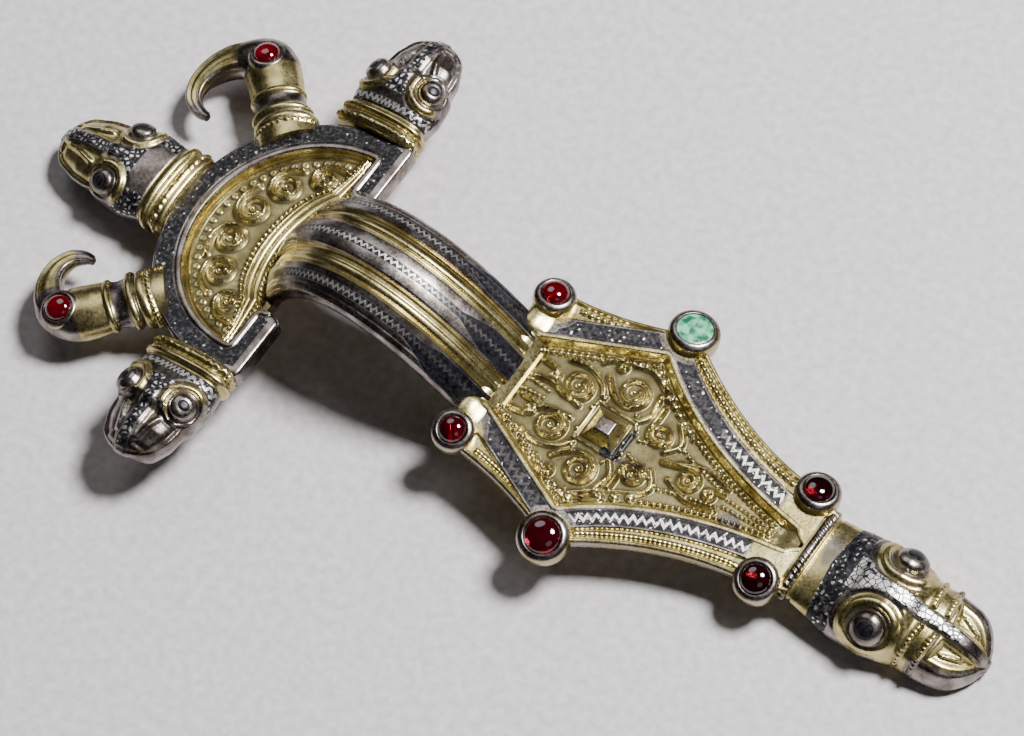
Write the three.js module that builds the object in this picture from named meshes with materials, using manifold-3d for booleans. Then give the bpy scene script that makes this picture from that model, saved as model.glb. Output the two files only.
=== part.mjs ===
// An early medieval bow brooch of cast silver, partly gilt, lying face up on its back.
//
// The head plate is a half disc with three animal heads and two hooked birds' heads round its edge.
// A broad arched bow joins it to a lozenge foot plate with six set stones and an animal head at its
// end. Everything but the stones is one casting. Lengths are in millimetres and angles in degrees.
//
// The foot frame has its origin midway between the two stones by the bow, on the top of the rim,
// with +X towards the foot end. The head frame has its origin at the middle of the half disc.

import * as THREE from 'three';
import { mergeVertices } from 'three/addons/utils/BufferGeometryUtils.js';
import Module from 'manifold-3d';

const wasm = await Module();
wasm.setup();

const { PI, abs, cos, max, min, round, sign, sin } = Math;
const radians = THREE.MathUtils.degToRad;

// How the casting lies and is bent
const footTilt = 5;
const headPitch = 13;
const headPlateBack = 26.9;
const headPlateDrop = 2.4;

// Foot plate outline and metal
const footPlateThickness = 2;
const bowEndBack = 1.6;
const bowStoneOut = 9.6;
const sideStoneAlong = 14.8;
const sideStoneOut = 14.4;
const endStoneBack = 2.7;
const endStoneOut = 6;
const footPlateLength = 38.6;
const endStoneAlong = footPlateLength - endStoneBack;
const neckHalfWidth = 5.5;
const saddleLength = 3.4;
const saddleRise = 0.6;

// Border of the foot plate, counted inwards from the outline
const borderFloor = 0.4;
const edgeFilletWidth = 0.5;
const beadLineInset = 1.15;
const beadLineHalfWidth = 0.35;
const nielloInset = 0.6;
const nielloWidth = 2;

// Sunk panel of the foot plate
const panelDepth = 1.25;
const panelStart = 1.2;
const panelStartHalfWidth = 4.9;
const panelCornerBack = 0.9;
const panelCornerIn = 3.6;
const panelTailHalfWidth = 1.3;
const panelWallSlope = 0.5;
const bossHalfWidth = 1.9;
const bossHeight = 1.3;

// Raised scrolls
const scrollRise = 0.5;
const scrollHalfWidth = 0.32;

// Bow
const bowRootBack = 29.2;
const bowRootDrop = 3.4;
const bowShoulderForward = 3.6;
const bowShoulderRise = 10.7;
const bowFlankBack = 11.9;
const bowFlankRise = 12;
const bowFootForward = 1.5;
const bowFootRise = 0.4;
const bowHalfWidth = 6.9;
const bowThickness = 1.7;
const bowSag = 2.2;
const bowBandHalfWidth = 1.7;
const bowGrooveEnd = 4;
const bowGrooveDepth = 0.55;
const bowRibAt = 3;
const bowBandRise = 0.2;

// Head plate
const headPlateRadius = 17;
const headPlateThickness = 2.5;
const headPlateForward = 3.4;
const headBarInnerEnd = 8.4;
const headPanelRadius = 13.7;
const headPanelDepth = 1.15;
const headPanelWallSlope = 0.5;
const headPanelForward = 0.2;
const rootArcBack = 2.1;
const rootArcHalfWidth = 7.6;
const rootRibHalfWidth = 0.35;

// Animal heads round the head plate
const centreHeadLength = 18.3;
const endHeadLength = 14.3;
const endHeadBack = 2.3;
const knobHalfWidth = 5.5;
const knobRise = 3.2;
const knobDrop = 2.8;
const knobMiddleDrop = 0.8;
const knobRootOverlap = 0.6;

// Animal head at the foot end
const footHeadLength = 23;
const footHeadHalfWidth = 6.3;
const footHeadRise = 5;
const footHeadDrop = 1.8;
const footHeadMiddleDrop = 2.3;
const footHeadOverlap = 0.7;
const restFlat = 0.35;

// Eyes, brows and crest of the animal heads, as shares of the head
const knobEyeRadius = 1.5;
const footEyeRadius = 1.9;
const browThickness = 0.45;
const crestRise = 0.4;

// Birds' heads
const birdNeckHalfWidth = 3.2;
const birdHeadHalfWidth = 2.9;
const birdHalfHeight = 2.3;
const birdMiddleDrop = 1.2;
const rightBeakShare = 0.8;

// Stones and their settings
const stoneClearance = 0.3;
const stoneDome = 1.4;
const settingRise = 0.9;
const settingLean = 12;
const bowStoneRadius = 1.55;
const bowSettingRadius = 2.4;
const sideStoneRadius = 2;
const sideSettingRadius = 2.9;
const endStoneRadius = 1.7;
const endSettingRadius = 2.55;
const birdEyeRadius = 1.55;
const birdSettingRadius = 2.35;
const socketDepth = 0.9;

// Spring lugs and catch on the back
const lugThickness = 1.8;
const lugLength = 5.6;
const lugOut = 5.5;
const lugBack = 4.4;
const lugHoleRadius = 0.8;
const catchAlong = 23;
const catchLength = 9;
const catchThickness = 0.9;
const catchDrop = 2.5;
const catchHookWidth = 2.6;
const catchLip = 1.5;

const gilt = new THREE.MeshStandardMaterial({ color: 0xb39a5c, roughness: 0.38, metalness: 1 });
const garnet = new THREE.MeshStandardMaterial({ color: 0x8a0f1e, roughness: 0.08, metalness: 0 });
const greenStone = new THREE.MeshStandardMaterial({ color: 0x7fb89a, roughness: 0.4, metalness: 0 });

// Nested frames: the brooch as it lies, and the head plate bent down from the foot plate
const lying = new THREE.Group();
lying.rotation.y = radians(footTilt);
const headFrame = new THREE.Group();
headFrame.position.set(-headPlateBack, 0, -headPlateDrop);
headFrame.rotation.y = -radians(headPitch);
lying.add(headFrame);
lying.updateMatrixWorld(true);

// Solids

function toSolid(geometry) {
  const bare = geometry.index ? geometry.clone() : geometry;
  bare.deleteAttribute('normal');
  bare.deleteAttribute('uv');
  const merged = mergeVertices(bare, 1e-5);
  const corners = Array.from(merged.index.array);
  const kept = [];
  for (let i = 0; i < corners.length; i += 3) {
    const [a, b, c] = corners.slice(i, i + 3);
    if (a !== b && b !== c && c !== a) {
      kept.push(a, b, c);
    }
  }
  return new wasm.Manifold(new wasm.Mesh({
    numProp: 3,
    vertProperties: new Float32Array(merged.attributes.position.array),
    triVerts: new Uint32Array(kept),
  }));
}

function toGeometry(solid) {
  const mesh = solid.getMesh();
  const geometry = new THREE.BufferGeometry();
  geometry.setAttribute('position', new THREE.BufferAttribute(mesh.vertProperties, 3));
  geometry.setIndex(new THREE.BufferAttribute(mesh.triVerts, 1));
  return geometry;
}

function join(solids) {
  return solids.reduce((whole, piece) => whole.add(piece));
}

// Moves each point of a geometry to where the function puts it
function warp(geometry, place) {
  const points = geometry.attributes.position;
  for (let i = 0; i < points.count; i += 1) {
    const moved = place(points.getX(i), points.getY(i), points.getZ(i));
    points.setXYZ(i, moved.x, moved.y, moved.z);
  }
  return geometry;
}

function mirrored(geometry) {
  const copy = geometry.index ? geometry.toNonIndexed() : geometry.clone();
  copy.scale(1, -1, 1);
  const points = copy.attributes.position;
  const held = new THREE.Vector3();
  for (let i = 0; i < points.count; i += 3) {
    held.fromBufferAttribute(points, i + 1);
    points.setXYZ(i + 1, points.getX(i + 2), points.getY(i + 2), points.getZ(i + 2));
    points.setXYZ(i + 2, held.x, held.y, held.z);
  }
  return copy;
}

function bothSides(geometry) {
  return [geometry, mirrored(geometry)];
}

// A closed skin along X: one ring per row, placed by a function of the row number and of a point
// on the unit circle, whose first number runs across and whose second runs up. Each ring has a
// corner at its top
function loft(rows, sides, place) {
  const tube = new THREE.CylinderGeometry(1, 1, 1, sides, rows - 1);
  tube.rotateY(PI / 2);
  return warp(tube, (x, y, z) => place(round((y + 0.5) * (rows - 1)), z, x));
}

// A three-sided ridge that follows a flat curve, with its foot just under the given height
function ridge(curve, height, steps, halfWidth, rise, taper = 0) {
  return loft(steps + 1, 3, (row, across, up) => {
    const share = row / steps;
    const point = curve.getPoint(share);
    const along = curve.getTangent(share);
    const full = 1 - taper * share;
    return new THREE.Vector3(
      point.x - along.y * across * halfWidth * full * 1.3,
      point.y + along.x * across * halfWidth * full * 1.3,
      height + up * rise * full,
    );
  });
}

function slab(shape, low, high, curveSegments = 12) {
  const geometry = new THREE.ExtrudeGeometry(shape, {
    depth: high - low, bevelEnabled: false, curveSegments,
  });
  return geometry.translate(0, 0, low);
}

// A sunk panel's cutter: full size at the surface, sloping in to its floor
function sunkPanel(shape, depth, slope, curveSegments) {
  return new THREE.ExtrudeGeometry(shape, {
    depth: 1, bevelEnabled: true, bevelThickness: depth, bevelSize: slope, bevelOffset: -slope,
    bevelSegments: 1, curveSegments,
  });
}

// A curve beside another one, at a set distance on its left
class BesideCurve extends THREE.Curve {
  constructor(curve, distance, from = 0, to = 1) {
    super();
    Object.assign(this, { curve, distance, from, to });
  }

  getPoint(share, target = new THREE.Vector2()) {
    const at = this.from + (this.to - this.from) * share;
    const point = this.curve.getPoint(at);
    const along = this.curve.getTangent(at);
    return target.set(point.x - along.y * this.distance, point.y + along.x * this.distance);
  }
}

// The strip between two curves, as a flat outline
function stripShape(near, far, steps) {
  const points = near.getPoints(steps).concat(far.getPoints(steps).reverse());
  return new THREE.Shape(points);
}

// Foot plate

function footOutlineCurves() {
  const front = new THREE.QuadraticBezierCurve(
    new THREE.Vector2(-bowEndBack + 2.1, bowStoneOut + 1.3),
    new THREE.Vector2(sideStoneAlong * 0.47, bowStoneOut + 1.6),
    new THREE.Vector2(sideStoneAlong - 1.3, sideStoneOut - 0.5),
  );
  const back = new THREE.QuadraticBezierCurve(
    new THREE.Vector2(sideStoneAlong + 1.6, sideStoneOut - 0.4),
    new THREE.Vector2((sideStoneAlong + endStoneAlong) / 2, endStoneOut + 1.6),
    new THREE.Vector2(endStoneAlong - 1.3, endStoneOut + 0.6),
  );
  return { front, back };
}

function panelCurves() {
  const corner = new THREE.Vector2(sideStoneAlong - panelCornerBack, sideStoneOut - panelCornerIn);
  const front = new THREE.LineCurve(new THREE.Vector2(panelStart, panelStartHalfWidth), corner);
  const back = new THREE.QuadraticBezierCurve(
    corner,
    new THREE.Vector2(sideStoneAlong + 7.7, corner.y * 0.31),
    new THREE.Vector2(endStoneAlong + 0.6, panelTailHalfWidth),
  );
  return { front, back };
}

function mirroredShape(halfPoints) {
  const below = halfPoints.map((point) => new THREE.Vector2(point.x, -point.y)).reverse();
  return new THREE.Shape(halfPoints.concat(below).reverse());
}

function footPlateBase() {
  const { front, back } = footOutlineCurves();
  const half = [new THREE.Vector2(-bowEndBack, bowStoneOut - 1)];
  half.push(...front.getPoints(5), ...back.getPoints(7));
  half.push(new THREE.Vector2(footPlateLength, neckHalfWidth));
  const plate = toSolid(slab(mirroredShape(half), -footPlateThickness, -borderFloor));
  const inner = panelCurves();
  const lip = [new THREE.Vector2(-bowEndBack, bowStoneOut - 1)];
  lip.push(...new BesideCurve(inner.front, nielloInset + nielloWidth, 0.1, 1).getPoints(2));
  lip.push(...new BesideCurve(inner.back, nielloInset + nielloWidth, 0.06, 0.95).getPoints(6));
  lip.push(new THREE.Vector2(footPlateLength, neckHalfWidth - 1));
  return plate.add(toSolid(slab(mirroredShape(lip), -borderFloor - 0.1, 0)));
}

function footBorder() {
  const { front, back } = footOutlineCurves();
  const pieces = [];
  [[front, 5, 0.12, 0.8], [back, 7, 0.06, 0.94]].forEach(([curve, steps, from, to]) => {
    const near = new BesideCurve(curve, 0);
    const far = new BesideCurve(curve, -edgeFilletWidth);
    pieces.push(slab(stripShape(near, far, steps), -borderFloor - 0.1, 0));
    const beadLine = new BesideCurve(curve, -beadLineInset, from, to);
    pieces.push(ridge(beadLine, -borderFloor, steps, beadLineHalfWidth, borderFloor));
  });
  return pieces.flatMap(bothSides);
}

function spiralCurve(x, y, radius, turns, start, hand) {
  const points = [];
  const count = round(turns * 9);
  for (let i = 0; i <= count; i += 1) {
    const share = i / count;
    const reach = radius * (1 - 0.8 * share);
    const angle = start + hand * turns * 2 * PI * share;
    points.push(new THREE.Vector2(x + reach * cos(angle), y + reach * sin(angle)));
  }
  return new THREE.SplineCurve(points);
}

function scroll(x, y, radius, start, hand, floor) {
  const curve = spiralCurve(x, y, radius, 1.25, start, hand);
  return ridge(curve, floor, 8, scrollHalfWidth, scrollRise, 0.35);
}

function footPanelRelief() {
  const floor = -panelDepth;
  const corner = sideStoneAlong - panelCornerBack;
  const pieces = [
    scroll(corner * 0.56, 3.1, 1.6, -2.2, 1, floor),
    scroll(corner * 0.95, 5.7, 1.65, 2.6, -1, floor),
    scroll(corner * 1.33, 2.8, 1.25, 0.4, 1, floor),
  ].flatMap(bothSides);
  pieces.push(scroll(corner * 1.7, 0, 1, 2.4, -1, floor));
  const { front, back } = panelCurves();
  [[front, 3, 0.12, 0.92], [back, 6, 0.05, 0.9]].forEach(([curve, steps, from, to]) => {
    const beadLine = new BesideCurve(curve, -1.1, from, to);
    pieces.push(...bothSides(ridge(beadLine, floor, steps, beadLineHalfWidth, scrollRise)));
  });
  return pieces;
}

// A four-sided boss with a blunt top, in the middle of the sunk panel
function panelBoss() {
  const boss = new THREE.CylinderGeometry(bossHalfWidth * 0.25, bossHalfWidth, bossHeight + 0.3, 4);
  boss.rotateX(PI / 2);
  const middle = sideStoneAlong - panelCornerBack - 0.4;
  return boss.translate(middle, 0, (bossHeight - 0.3) / 2 - panelDepth);
}

function footPlate() {
  const { front, back } = panelCurves();
  const half = front.getPoints(1).concat(back.getPoints(9).slice(1));
  const cutter = sunkPanel(mirroredShape(half), panelDepth, panelWallSlope, 1);
  const plate = footPlateBase().subtract(toSolid(cutter));
  const raised = [...footBorder(), ...footPanelRelief(), panelBoss()];
  return join([plate, ...raised.map(toSolid)]);
}

// The cross bar on which the bow ends, between the two stones by the bow
function saddle() {
  const halfWidth = bowStoneOut - 1.4;
  const side = new THREE.Shape([
    new THREE.Vector2(-bowEndBack, -footPlateThickness),
    new THREE.Vector2(saddleLength - bowEndBack, -footPlateThickness),
    new THREE.Vector2(saddleLength - bowEndBack, 0),
    new THREE.Vector2(saddleLength - bowEndBack - 0.6, saddleRise),
    new THREE.Vector2(-bowEndBack + 0.4, saddleRise),
    new THREE.Vector2(-bowEndBack, 0),
  ]);
  const bar = slab(side, -halfWidth, halfWidth);
  return toSolid(bar.rotateX(PI / 2));
}

// Bow

function bowCurve() {
  return new THREE.CubicBezierCurve(
    new THREE.Vector2(-bowRootBack, -bowRootDrop),
    new THREE.Vector2(-bowRootBack + bowShoulderForward, bowShoulderRise),
    new THREE.Vector2(-bowFlankBack, bowFlankRise),
    new THREE.Vector2(bowFootForward, bowFootRise),
  );
}

// Half of the bow's section from the middle outwards: how far out, and how high above the skin
function bowProfile() {
  return [
    [0, bowBandRise],
    [bowBandHalfWidth - 0.1, bowBandRise],
    [bowBandHalfWidth + 0.3, -bowGrooveDepth],
    [bowRibAt, -bowGrooveDepth * 0.4],
    [bowGrooveEnd - 0.2, -bowGrooveDepth],
    [bowGrooveEnd + 0.1, bowBandRise],
    [bowHalfWidth, -bowBandRise / 2],
  ];
}

function bow() {
  const half = bowProfile();
  const across = half.slice(1).reverse().map(([out, lift]) => [-out, lift]).concat(half);
  const columns = across.length - 1;
  const rows = 12;
  const curve = bowCurve();
  const strip = new THREE.BoxGeometry(1, 1, 1, rows, columns, 1);
  return toSolid(warp(strip, (x, y, z) => {
    const share = round((x + 0.5) * rows) / rows;
    const [out, lift] = across[round((y + 0.5) * columns)];
    const point = curve.getPoint(share);
    const along = curve.getTangent(share);
    const sag = bowSag * (out / bowHalfWidth) ** 2;
    const height = (z > 0 ? lift : -bowThickness) - sag;
    return new THREE.Vector3(point.x - along.y * height, out, point.y + along.x * height);
  }));
}

// Head plate, in the head frame

function headPlateShape() {
  const front = headPlateForward;
  const shape = new THREE.Shape();
  shape.moveTo(front, -headPlateRadius + 0.8);
  shape.lineTo(front, -headBarInnerEnd);
  shape.lineTo(headPanelForward + 0.5, -headBarInnerEnd + 0.8);
  shape.lineTo(headPanelForward + 0.5, headBarInnerEnd - 0.8);
  shape.lineTo(front, headBarInnerEnd);
  shape.lineTo(front, headPlateRadius - 0.8);
  shape.lineTo(front - 0.8, headPlateRadius);
  shape.lineTo(0, headPlateRadius);
  shape.absarc(0, 0, headPlateRadius, PI / 2, 1.5 * PI, false);
  shape.lineTo(front - 0.8, -headPlateRadius);
  return shape;
}

// The arc round the bow's root: its middle lies in front of the plate
function rootArc() {
  const depth = rootArcBack + headPanelForward;
  const radius = (rootArcHalfWidth ** 2 + depth ** 2) / (2 * depth);
  const middle = radius - rootArcBack;
  const spread = Math.asin(rootArcHalfWidth / radius);
  return { radius, middle, spread };
}

function headPanelShape() {
  const { radius, middle, spread } = rootArc();
  const shape = new THREE.Shape();
  const tip = Math.asin(headPanelForward / headPanelRadius);
  shape.moveTo(headPanelForward, -headPanelRadius * cos(tip));
  shape.lineTo(headPanelForward, -rootArcHalfWidth);
  shape.absarc(middle, 0, radius, PI + spread, PI - spread, true);
  shape.lineTo(headPanelForward, headPanelRadius * cos(tip));
  shape.absarc(0, 0, headPanelRadius, PI / 2 - tip, 1.5 * PI + tip, false);
  return shape;
}

function rootRib(offset, reach) {
  const { radius, middle } = rootArc();
  const arc = new THREE.EllipseCurve(
    middle, 0, radius + offset, radius + offset, PI - reach, PI + reach,
  );
  return ridge(arc, -headPanelDepth, 6, rootRibHalfWidth, scrollRise);
}

function headPanelRelief() {
  const floor = -headPanelDepth;
  const ribs = [0.6, 1.6, 2.6, 3.7].map((offset) => rootRib(offset, 0.6));
  const scrolls = [14, 42, 68].flatMap((turn, i) => {
    const reach = headPanelRadius * (0.66 + 0.04 * i);
    const x = -reach * cos(radians(turn));
    const y = reach * sin(radians(turn));
    return bothSides(scroll(x, y, i < 2 ? 1.6 : 1.3, radians(180 - turn), 1, floor));
  });
  const ring = new THREE.EllipseCurve(
    0, 0, headPanelRadius - 1.5, headPanelRadius - 1.5, radians(105), radians(255),
  );
  const beadLine = ridge(ring, floor, 14, beadLineHalfWidth, scrollRise);
  return [...ribs, ...scrolls, beadLine];
}

function headPlate() {
  const plate = toSolid(slab(headPlateShape(), -headPlateThickness, 0, 16));
  const cutter = sunkPanel(headPanelShape(), headPanelDepth, headPanelWallSlope, 14);
  return join([plate.subtract(toSolid(cutter)), ...headPanelRelief().map(toSolid)]);
}

// Animal heads

// Each row of a head: share of the length, of the half-width, of the rise and of the drop
const knobRows = [
  [0, 0.9, 0.55, 0.9],
  [0.05, 1, 0.68, 1],
  [0.1, 0.9, 0.58, 1],
  [0.14, 1, 0.74, 1],
  [0.19, 0.91, 0.68, 1],
  [0.36, 1, 0.94, 1],
  [0.56, 0.92, 0.97, 1],
  [0.62, 0.82, 0.78, 1],
  [0.76, 0.76, 0.78, 1],
  [0.9, 0.52, 0.56, 0.8],
  [1, 0.14, 0.16, 0.35],
];

const footHeadRows = [
  [0, 0.86, 0.3, 0.35],
  [0.04, 0.9, 0.38, 0.4],
  [0.07, 0.87, 0.32, 0.45],
  [0.18, 0.92, 0.5, 0.75],
  [0.23, 0.96, 0.66, 0.9],
  [0.33, 1, 0.86, 1],
  [0.47, 1, 1, 1],
  [0.58, 0.9, 0.94, 1],
  [0.63, 0.82, 0.78, 1],
  [0.67, 0.85, 0.84, 1],
  [0.72, 0.82, 0.78, 1],
  [0.85, 0.72, 0.62, 0.9],
  [0.94, 0.5, 0.42, 0.75],
  [1, 0.2, 0.16, 0.4],
];

function headSkin(head) {
  const { rows, sides, length, halfWidth, rise, drop, middleDrop, startDrop } = head;
  return loft(rows.length, sides, (row, across, up) => {
    const [along, wide, high, low] = rows[row];
    const settle = min(1, along / 0.3);
    const middle = -startDrop - (middleDrop - startDrop) * settle;
    const crest = up > 0.99 && along > 0.2 ? crestRise * min(1, (1 - along) * 8) : 0;
    const full = sign(across) * abs(across) ** 0.85;
    const height = up < 0 ? -drop * low * min(1, -up * 1.4) : up ** 0.85 * rise * high + crest;
    return new THREE.Vector3(along * length, full * halfWidth * wide, middle + height);
  });
}

// A domed eye in a raised brow ring, on the flank of the head
function eyeParts(head) {
  const { length, halfWidth, rise, middleDrop, eyeRadius, eyeAlong, eyeOut, eyeLift } = head;
  const lean = radians(38);
  const up = Math.sqrt(1 - eyeOut ** 2);
  const dome = new THREE.SphereGeometry(eyeRadius, 8, 3).rotateX(PI / 2).scale(1, 1, 0.75);
  const brow = new THREE.TorusGeometry(eyeRadius * 1.35, browThickness, 3, 8);
  return [dome, brow].flatMap((piece) => {
    piece.rotateX(-lean);
    piece.translate(eyeAlong * length, eyeOut * halfWidth, up * rise - middleDrop + eyeLift);
    return bothSides(piece);
  });
}

const knobShares = {
  rows: knobRows, sides: 10, eyeRadius: knobEyeRadius, eyeAlong: 0.49, eyeOut: 0.69, eyeLift: -0.2,
};
const knobSizes = {
  halfWidth: knobHalfWidth, rise: knobRise, drop: knobDrop,
  middleDrop: knobMiddleDrop, startDrop: knobMiddleDrop,
};

function animalHead(head) {
  return [headSkin(head), ...eyeParts(head)];
}

function centreHead() {
  const head = animalHead({ ...knobShares, ...knobSizes, length: centreHeadLength });
  const turn = new THREE.Matrix4().makeRotationZ(PI);
  turn.setPosition(-headPlateRadius + knobRootOverlap, 0, 0);
  return head.map((piece) => piece.applyMatrix4(turn));
}

function endHeads() {
  const head = animalHead({ ...knobShares, ...knobSizes, length: endHeadLength });
  const turn = new THREE.Matrix4().makeRotationZ(PI / 2);
  turn.setPosition(-endHeadBack, headPlateRadius - knobRootOverlap, 0);
  return head.map((piece) => piece.applyMatrix4(turn)).flatMap(bothSides);
}

function footHead() {
  const head = animalHead({
    rows: footHeadRows, sides: 12, eyeRadius: footEyeRadius, eyeAlong: 0.47, eyeOut: 0.73, eyeLift: 0.2,
    length: footHeadLength, halfWidth: footHeadHalfWidth, rise: footHeadRise,
    drop: footHeadDrop, middleDrop: footHeadMiddleDrop, startDrop: footPlateThickness / 2,
  });
  return head.map((piece) => piece.translate(footPlateLength - footHeadOverlap, 0, 0));
}

// Birds' heads, in the head frame

const birdEyeBack = headPlateRadius + 2.4;
const birdEyeOut = headPlateRadius + 2.3;

// Points from the neck in the rim round the crown to the tip of the beak, from the eye. A worn
// beak keeps only a share of its reach
function birdCurve(beakShare) {
  const neck = [[8.9, -8], [4.7, -4.3], [1.7, -1.4], [-0.6, 0]];
  const beak = [
    [-3.1, -0.9], [-5, -3.1], [-5.7, -5.8], [-5, -8], [-3.4, -9.1], [-2, -9.3],
  ];
  const steps = neck.concat(beak.map(([x, y]) => [x * beakShare, y * beakShare]));
  return new THREE.SplineCurve(steps.map(
    ([x, y]) => new THREE.Vector2(x - birdEyeBack, y + birdEyeOut),
  ));
}

// Half-width and height of each row, as shares of the bird's own sizes
const birdRows = [
  [1.15, 1], [1.15, 1.05], [1, 0.95], [1.05, 1], [0.96, 0.95], [0.98, 0.95], [1.02, 1],
  [1.05, 1], [1, 1], [0.86, 0.95], [0.7, 0.85], [0.6, 0.78], [0.52, 0.7], [0.44, 0.6],
  [0.37, 0.5], [0.28, 0.42], [0.18, 0.3], [0.06, 0.15],
];

function birdHead(beakShare) {
  const curve = birdCurve(beakShare);
  const last = birdRows.length - 1;
  return loft(birdRows.length, 8, (row, across, up) => {
    const share = row / last;
    const point = curve.getPointAt(share);
    const along = curve.getTangentAt(share);
    const full = row < last / 2 ? birdNeckHalfWidth : birdHeadHalfWidth;
    const out = across * full * birdRows[row][0];
    const height = up * birdHalfHeight * birdRows[row][1];
    return new THREE.Vector3(
      point.x - along.y * out, point.y + along.x * out, height - birdMiddleDrop,
    );
  });
}

function birdHeads() {
  return [birdHead(1), mirrored(birdHead(rightBeakShare))];
}

// Stones and settings

const settings = [
  { name: 'garnet_bow', frame: lying, x: 0, y: bowStoneOut, stone: bowStoneRadius,
    cup: bowSettingRadius, base: footPlateThickness, material: garnet },
  { name: 'stone_side', frame: lying, x: sideStoneAlong, y: sideStoneOut, stone: sideStoneRadius,
    cup: sideSettingRadius, base: footPlateThickness, material: garnet },
  { name: 'garnet_end', frame: lying, x: endStoneAlong, y: endStoneOut, stone: endStoneRadius,
    cup: endSettingRadius, base: footPlateThickness, material: garnet },
  { name: 'garnet_bird_eye', frame: headFrame, x: -birdEyeBack, y: birdEyeOut,
    stone: birdEyeRadius, cup: birdSettingRadius, base: birdHalfHeight, material: garnet },
];

function settingMatrix({ x, y }, side) {
  const matrix = new THREE.Matrix4().makeRotationX(-side * radians(settingLean));
  return matrix.setPosition(x, side * y, 0);
}

function cupGeometry({ cup, base }) {
  return new THREE.LatheGeometry([
    new THREE.Vector2(0, -base),
    new THREE.Vector2(cup * 0.8, -base),
    new THREE.Vector2(cup, -base * 0.4),
    new THREE.Vector2(cup * 0.92, settingRise),
    new THREE.Vector2(0, settingRise),
  ], 12).rotateX(PI / 2);
}

function socketGeometry({ stone }) {
  const reach = settingRise + 2;
  const socket = new THREE.CylinderGeometry(
    stone + stoneClearance, stone + stoneClearance, reach + socketDepth, 8,
  );
  return socket.rotateX(PI / 2).translate(0, 0, (reach - socketDepth) / 2);
}

function stoneGeometry({ stone }) {
  const bottom = -socketDepth + stoneClearance;
  const girdle = settingRise - 0.5;
  const points = [new THREE.Vector2(0, bottom), new THREE.Vector2(stone, bottom)];
  for (let i = 0; i <= 2; i += 1) {
    const angle = (i / 2) * (PI / 2);
    points.push(new THREE.Vector2(stone * max(0, cos(angle)), girdle + stoneDome * sin(angle)));
  }
  points[points.length - 1].x = 0;
  return new THREE.LatheGeometry(points, 10).rotateX(PI / 2);
}

function placed(geometry, frame, matrix) {
  return geometry.applyMatrix4(matrix).applyMatrix4(frame.matrixWorld);
}

// Back of the brooch

function lugs(table) {
  const root = new THREE.Vector3(-lugBack, 0, -headPlateThickness / 2);
  root.applyMatrix4(headFrame.matrixWorld);
  const radius = lugLength / 2;
  const shape = new THREE.Shape();
  shape.moveTo(root.x + radius, root.z);
  shape.lineTo(root.x - radius, root.z);
  shape.lineTo(root.x - radius, table + radius * 0.6);
  shape.lineTo(root.x - radius * 0.6, table - 1);
  shape.lineTo(root.x + radius * 0.6, table - 1);
  shape.lineTo(root.x + radius, table + radius * 0.6);
  const hole = new THREE.Path();
  hole.absarc(root.x, table + radius * 0.85, lugHoleRadius, 0, 2 * PI, true);
  shape.holes.push(hole);
  const lug = slab(shape, -lugThickness / 2, lugThickness / 2, 5);
  return bothSides(lug.rotateX(PI / 2).translate(0, lugOut, 0)).map(toSolid);
}

function catchPlate() {
  const top = -footPlateThickness + 0.4;
  const low = -footPlateThickness - catchDrop;
  const outline = new THREE.Shape([
    new THREE.Vector2(catchHookWidth, low),
    new THREE.Vector2(catchHookWidth, low + catchLip),
    new THREE.Vector2(catchHookWidth - catchThickness * 0.8, low + catchLip),
    new THREE.Vector2(catchHookWidth - catchThickness * 0.8, low + catchThickness),
    new THREE.Vector2(catchThickness, low + catchThickness),
    new THREE.Vector2(catchThickness, top),
    new THREE.Vector2(0, top),
    new THREE.Vector2(0, low),
  ]);
  const strip = slab(outline, catchAlong, catchAlong + catchLength);
  strip.rotateX(PI / 2).rotateZ(PI / 2);
  return toSolid(strip.applyMatrix4(lying.matrixWorld));
}

// The casting, as it lies: its rest faces are ground flat where they meet the table

function casting() {
  const inFootFrame = [footPlate(), saddle(), bow()].map(toGeometry);
  const footEnd = footHead();
  const parts = [...inFootFrame, ...footEnd].map((g) => g.applyMatrix4(lying.matrixWorld));
  const inHeadFrame = [toGeometry(headPlate()), ...centreHead(), ...endHeads(), ...birdHeads()];
  parts.push(...inHeadFrame.map((g) => g.applyMatrix4(headFrame.matrixWorld)));
  const sockets = [];
  settings.forEach((setting) => [1, -1].forEach((side) => {
    const matrix = settingMatrix(setting, side);
    parts.push(placed(cupGeometry(setting), setting.frame, matrix));
    sockets.push(toSolid(placed(socketGeometry(setting), setting.frame, matrix)));
  }));
  footEnd[0].computeBoundingBox();
  const table = footEnd[0].boundingBox.min.z + restFlat;
  const whole = join([...parts.map(toSolid), ...lugs(table), catchPlate()]);
  const ground = new THREE.BoxGeometry(200, 200, 20).translate(0, 0, table - 10);
  return { body: whole.subtract(join(sockets)).subtract(toSolid(ground)), table };
}

const { body, table } = casting();
const bodyGeometry = toGeometry(body);
bodyGeometry.computeBoundingBox();
const shift = new THREE.Vector3();
bodyGeometry.boundingBox.getCenter(shift);
shift.set(-shift.x, -shift.y, -table);

const brooch = new THREE.Group();
const bodyMesh = new THREE.Mesh(bodyGeometry, gilt);
bodyMesh.name = 'brooch_body';
bodyMesh.position.copy(shift);
brooch.add(bodyMesh);

lying.position.copy(shift);
brooch.add(lying);
settings.forEach((setting) => [['left', 1], ['right', -1]].forEach(([word, side]) => {
  const isGreen = setting.name === 'stone_side' && side > 0;
  const stone = new THREE.Mesh(stoneGeometry(setting), isGreen ? greenStone : setting.material);
  const base = setting.name === 'stone_side' ? (isGreen ? 'green_stone_side' : 'garnet_side')
    : setting.name;
  stone.name = `${base}_${word}`;
  stone.applyMatrix4(settingMatrix(setting, side));
  setting.frame.add(stone);
}));

export default brooch;
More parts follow.
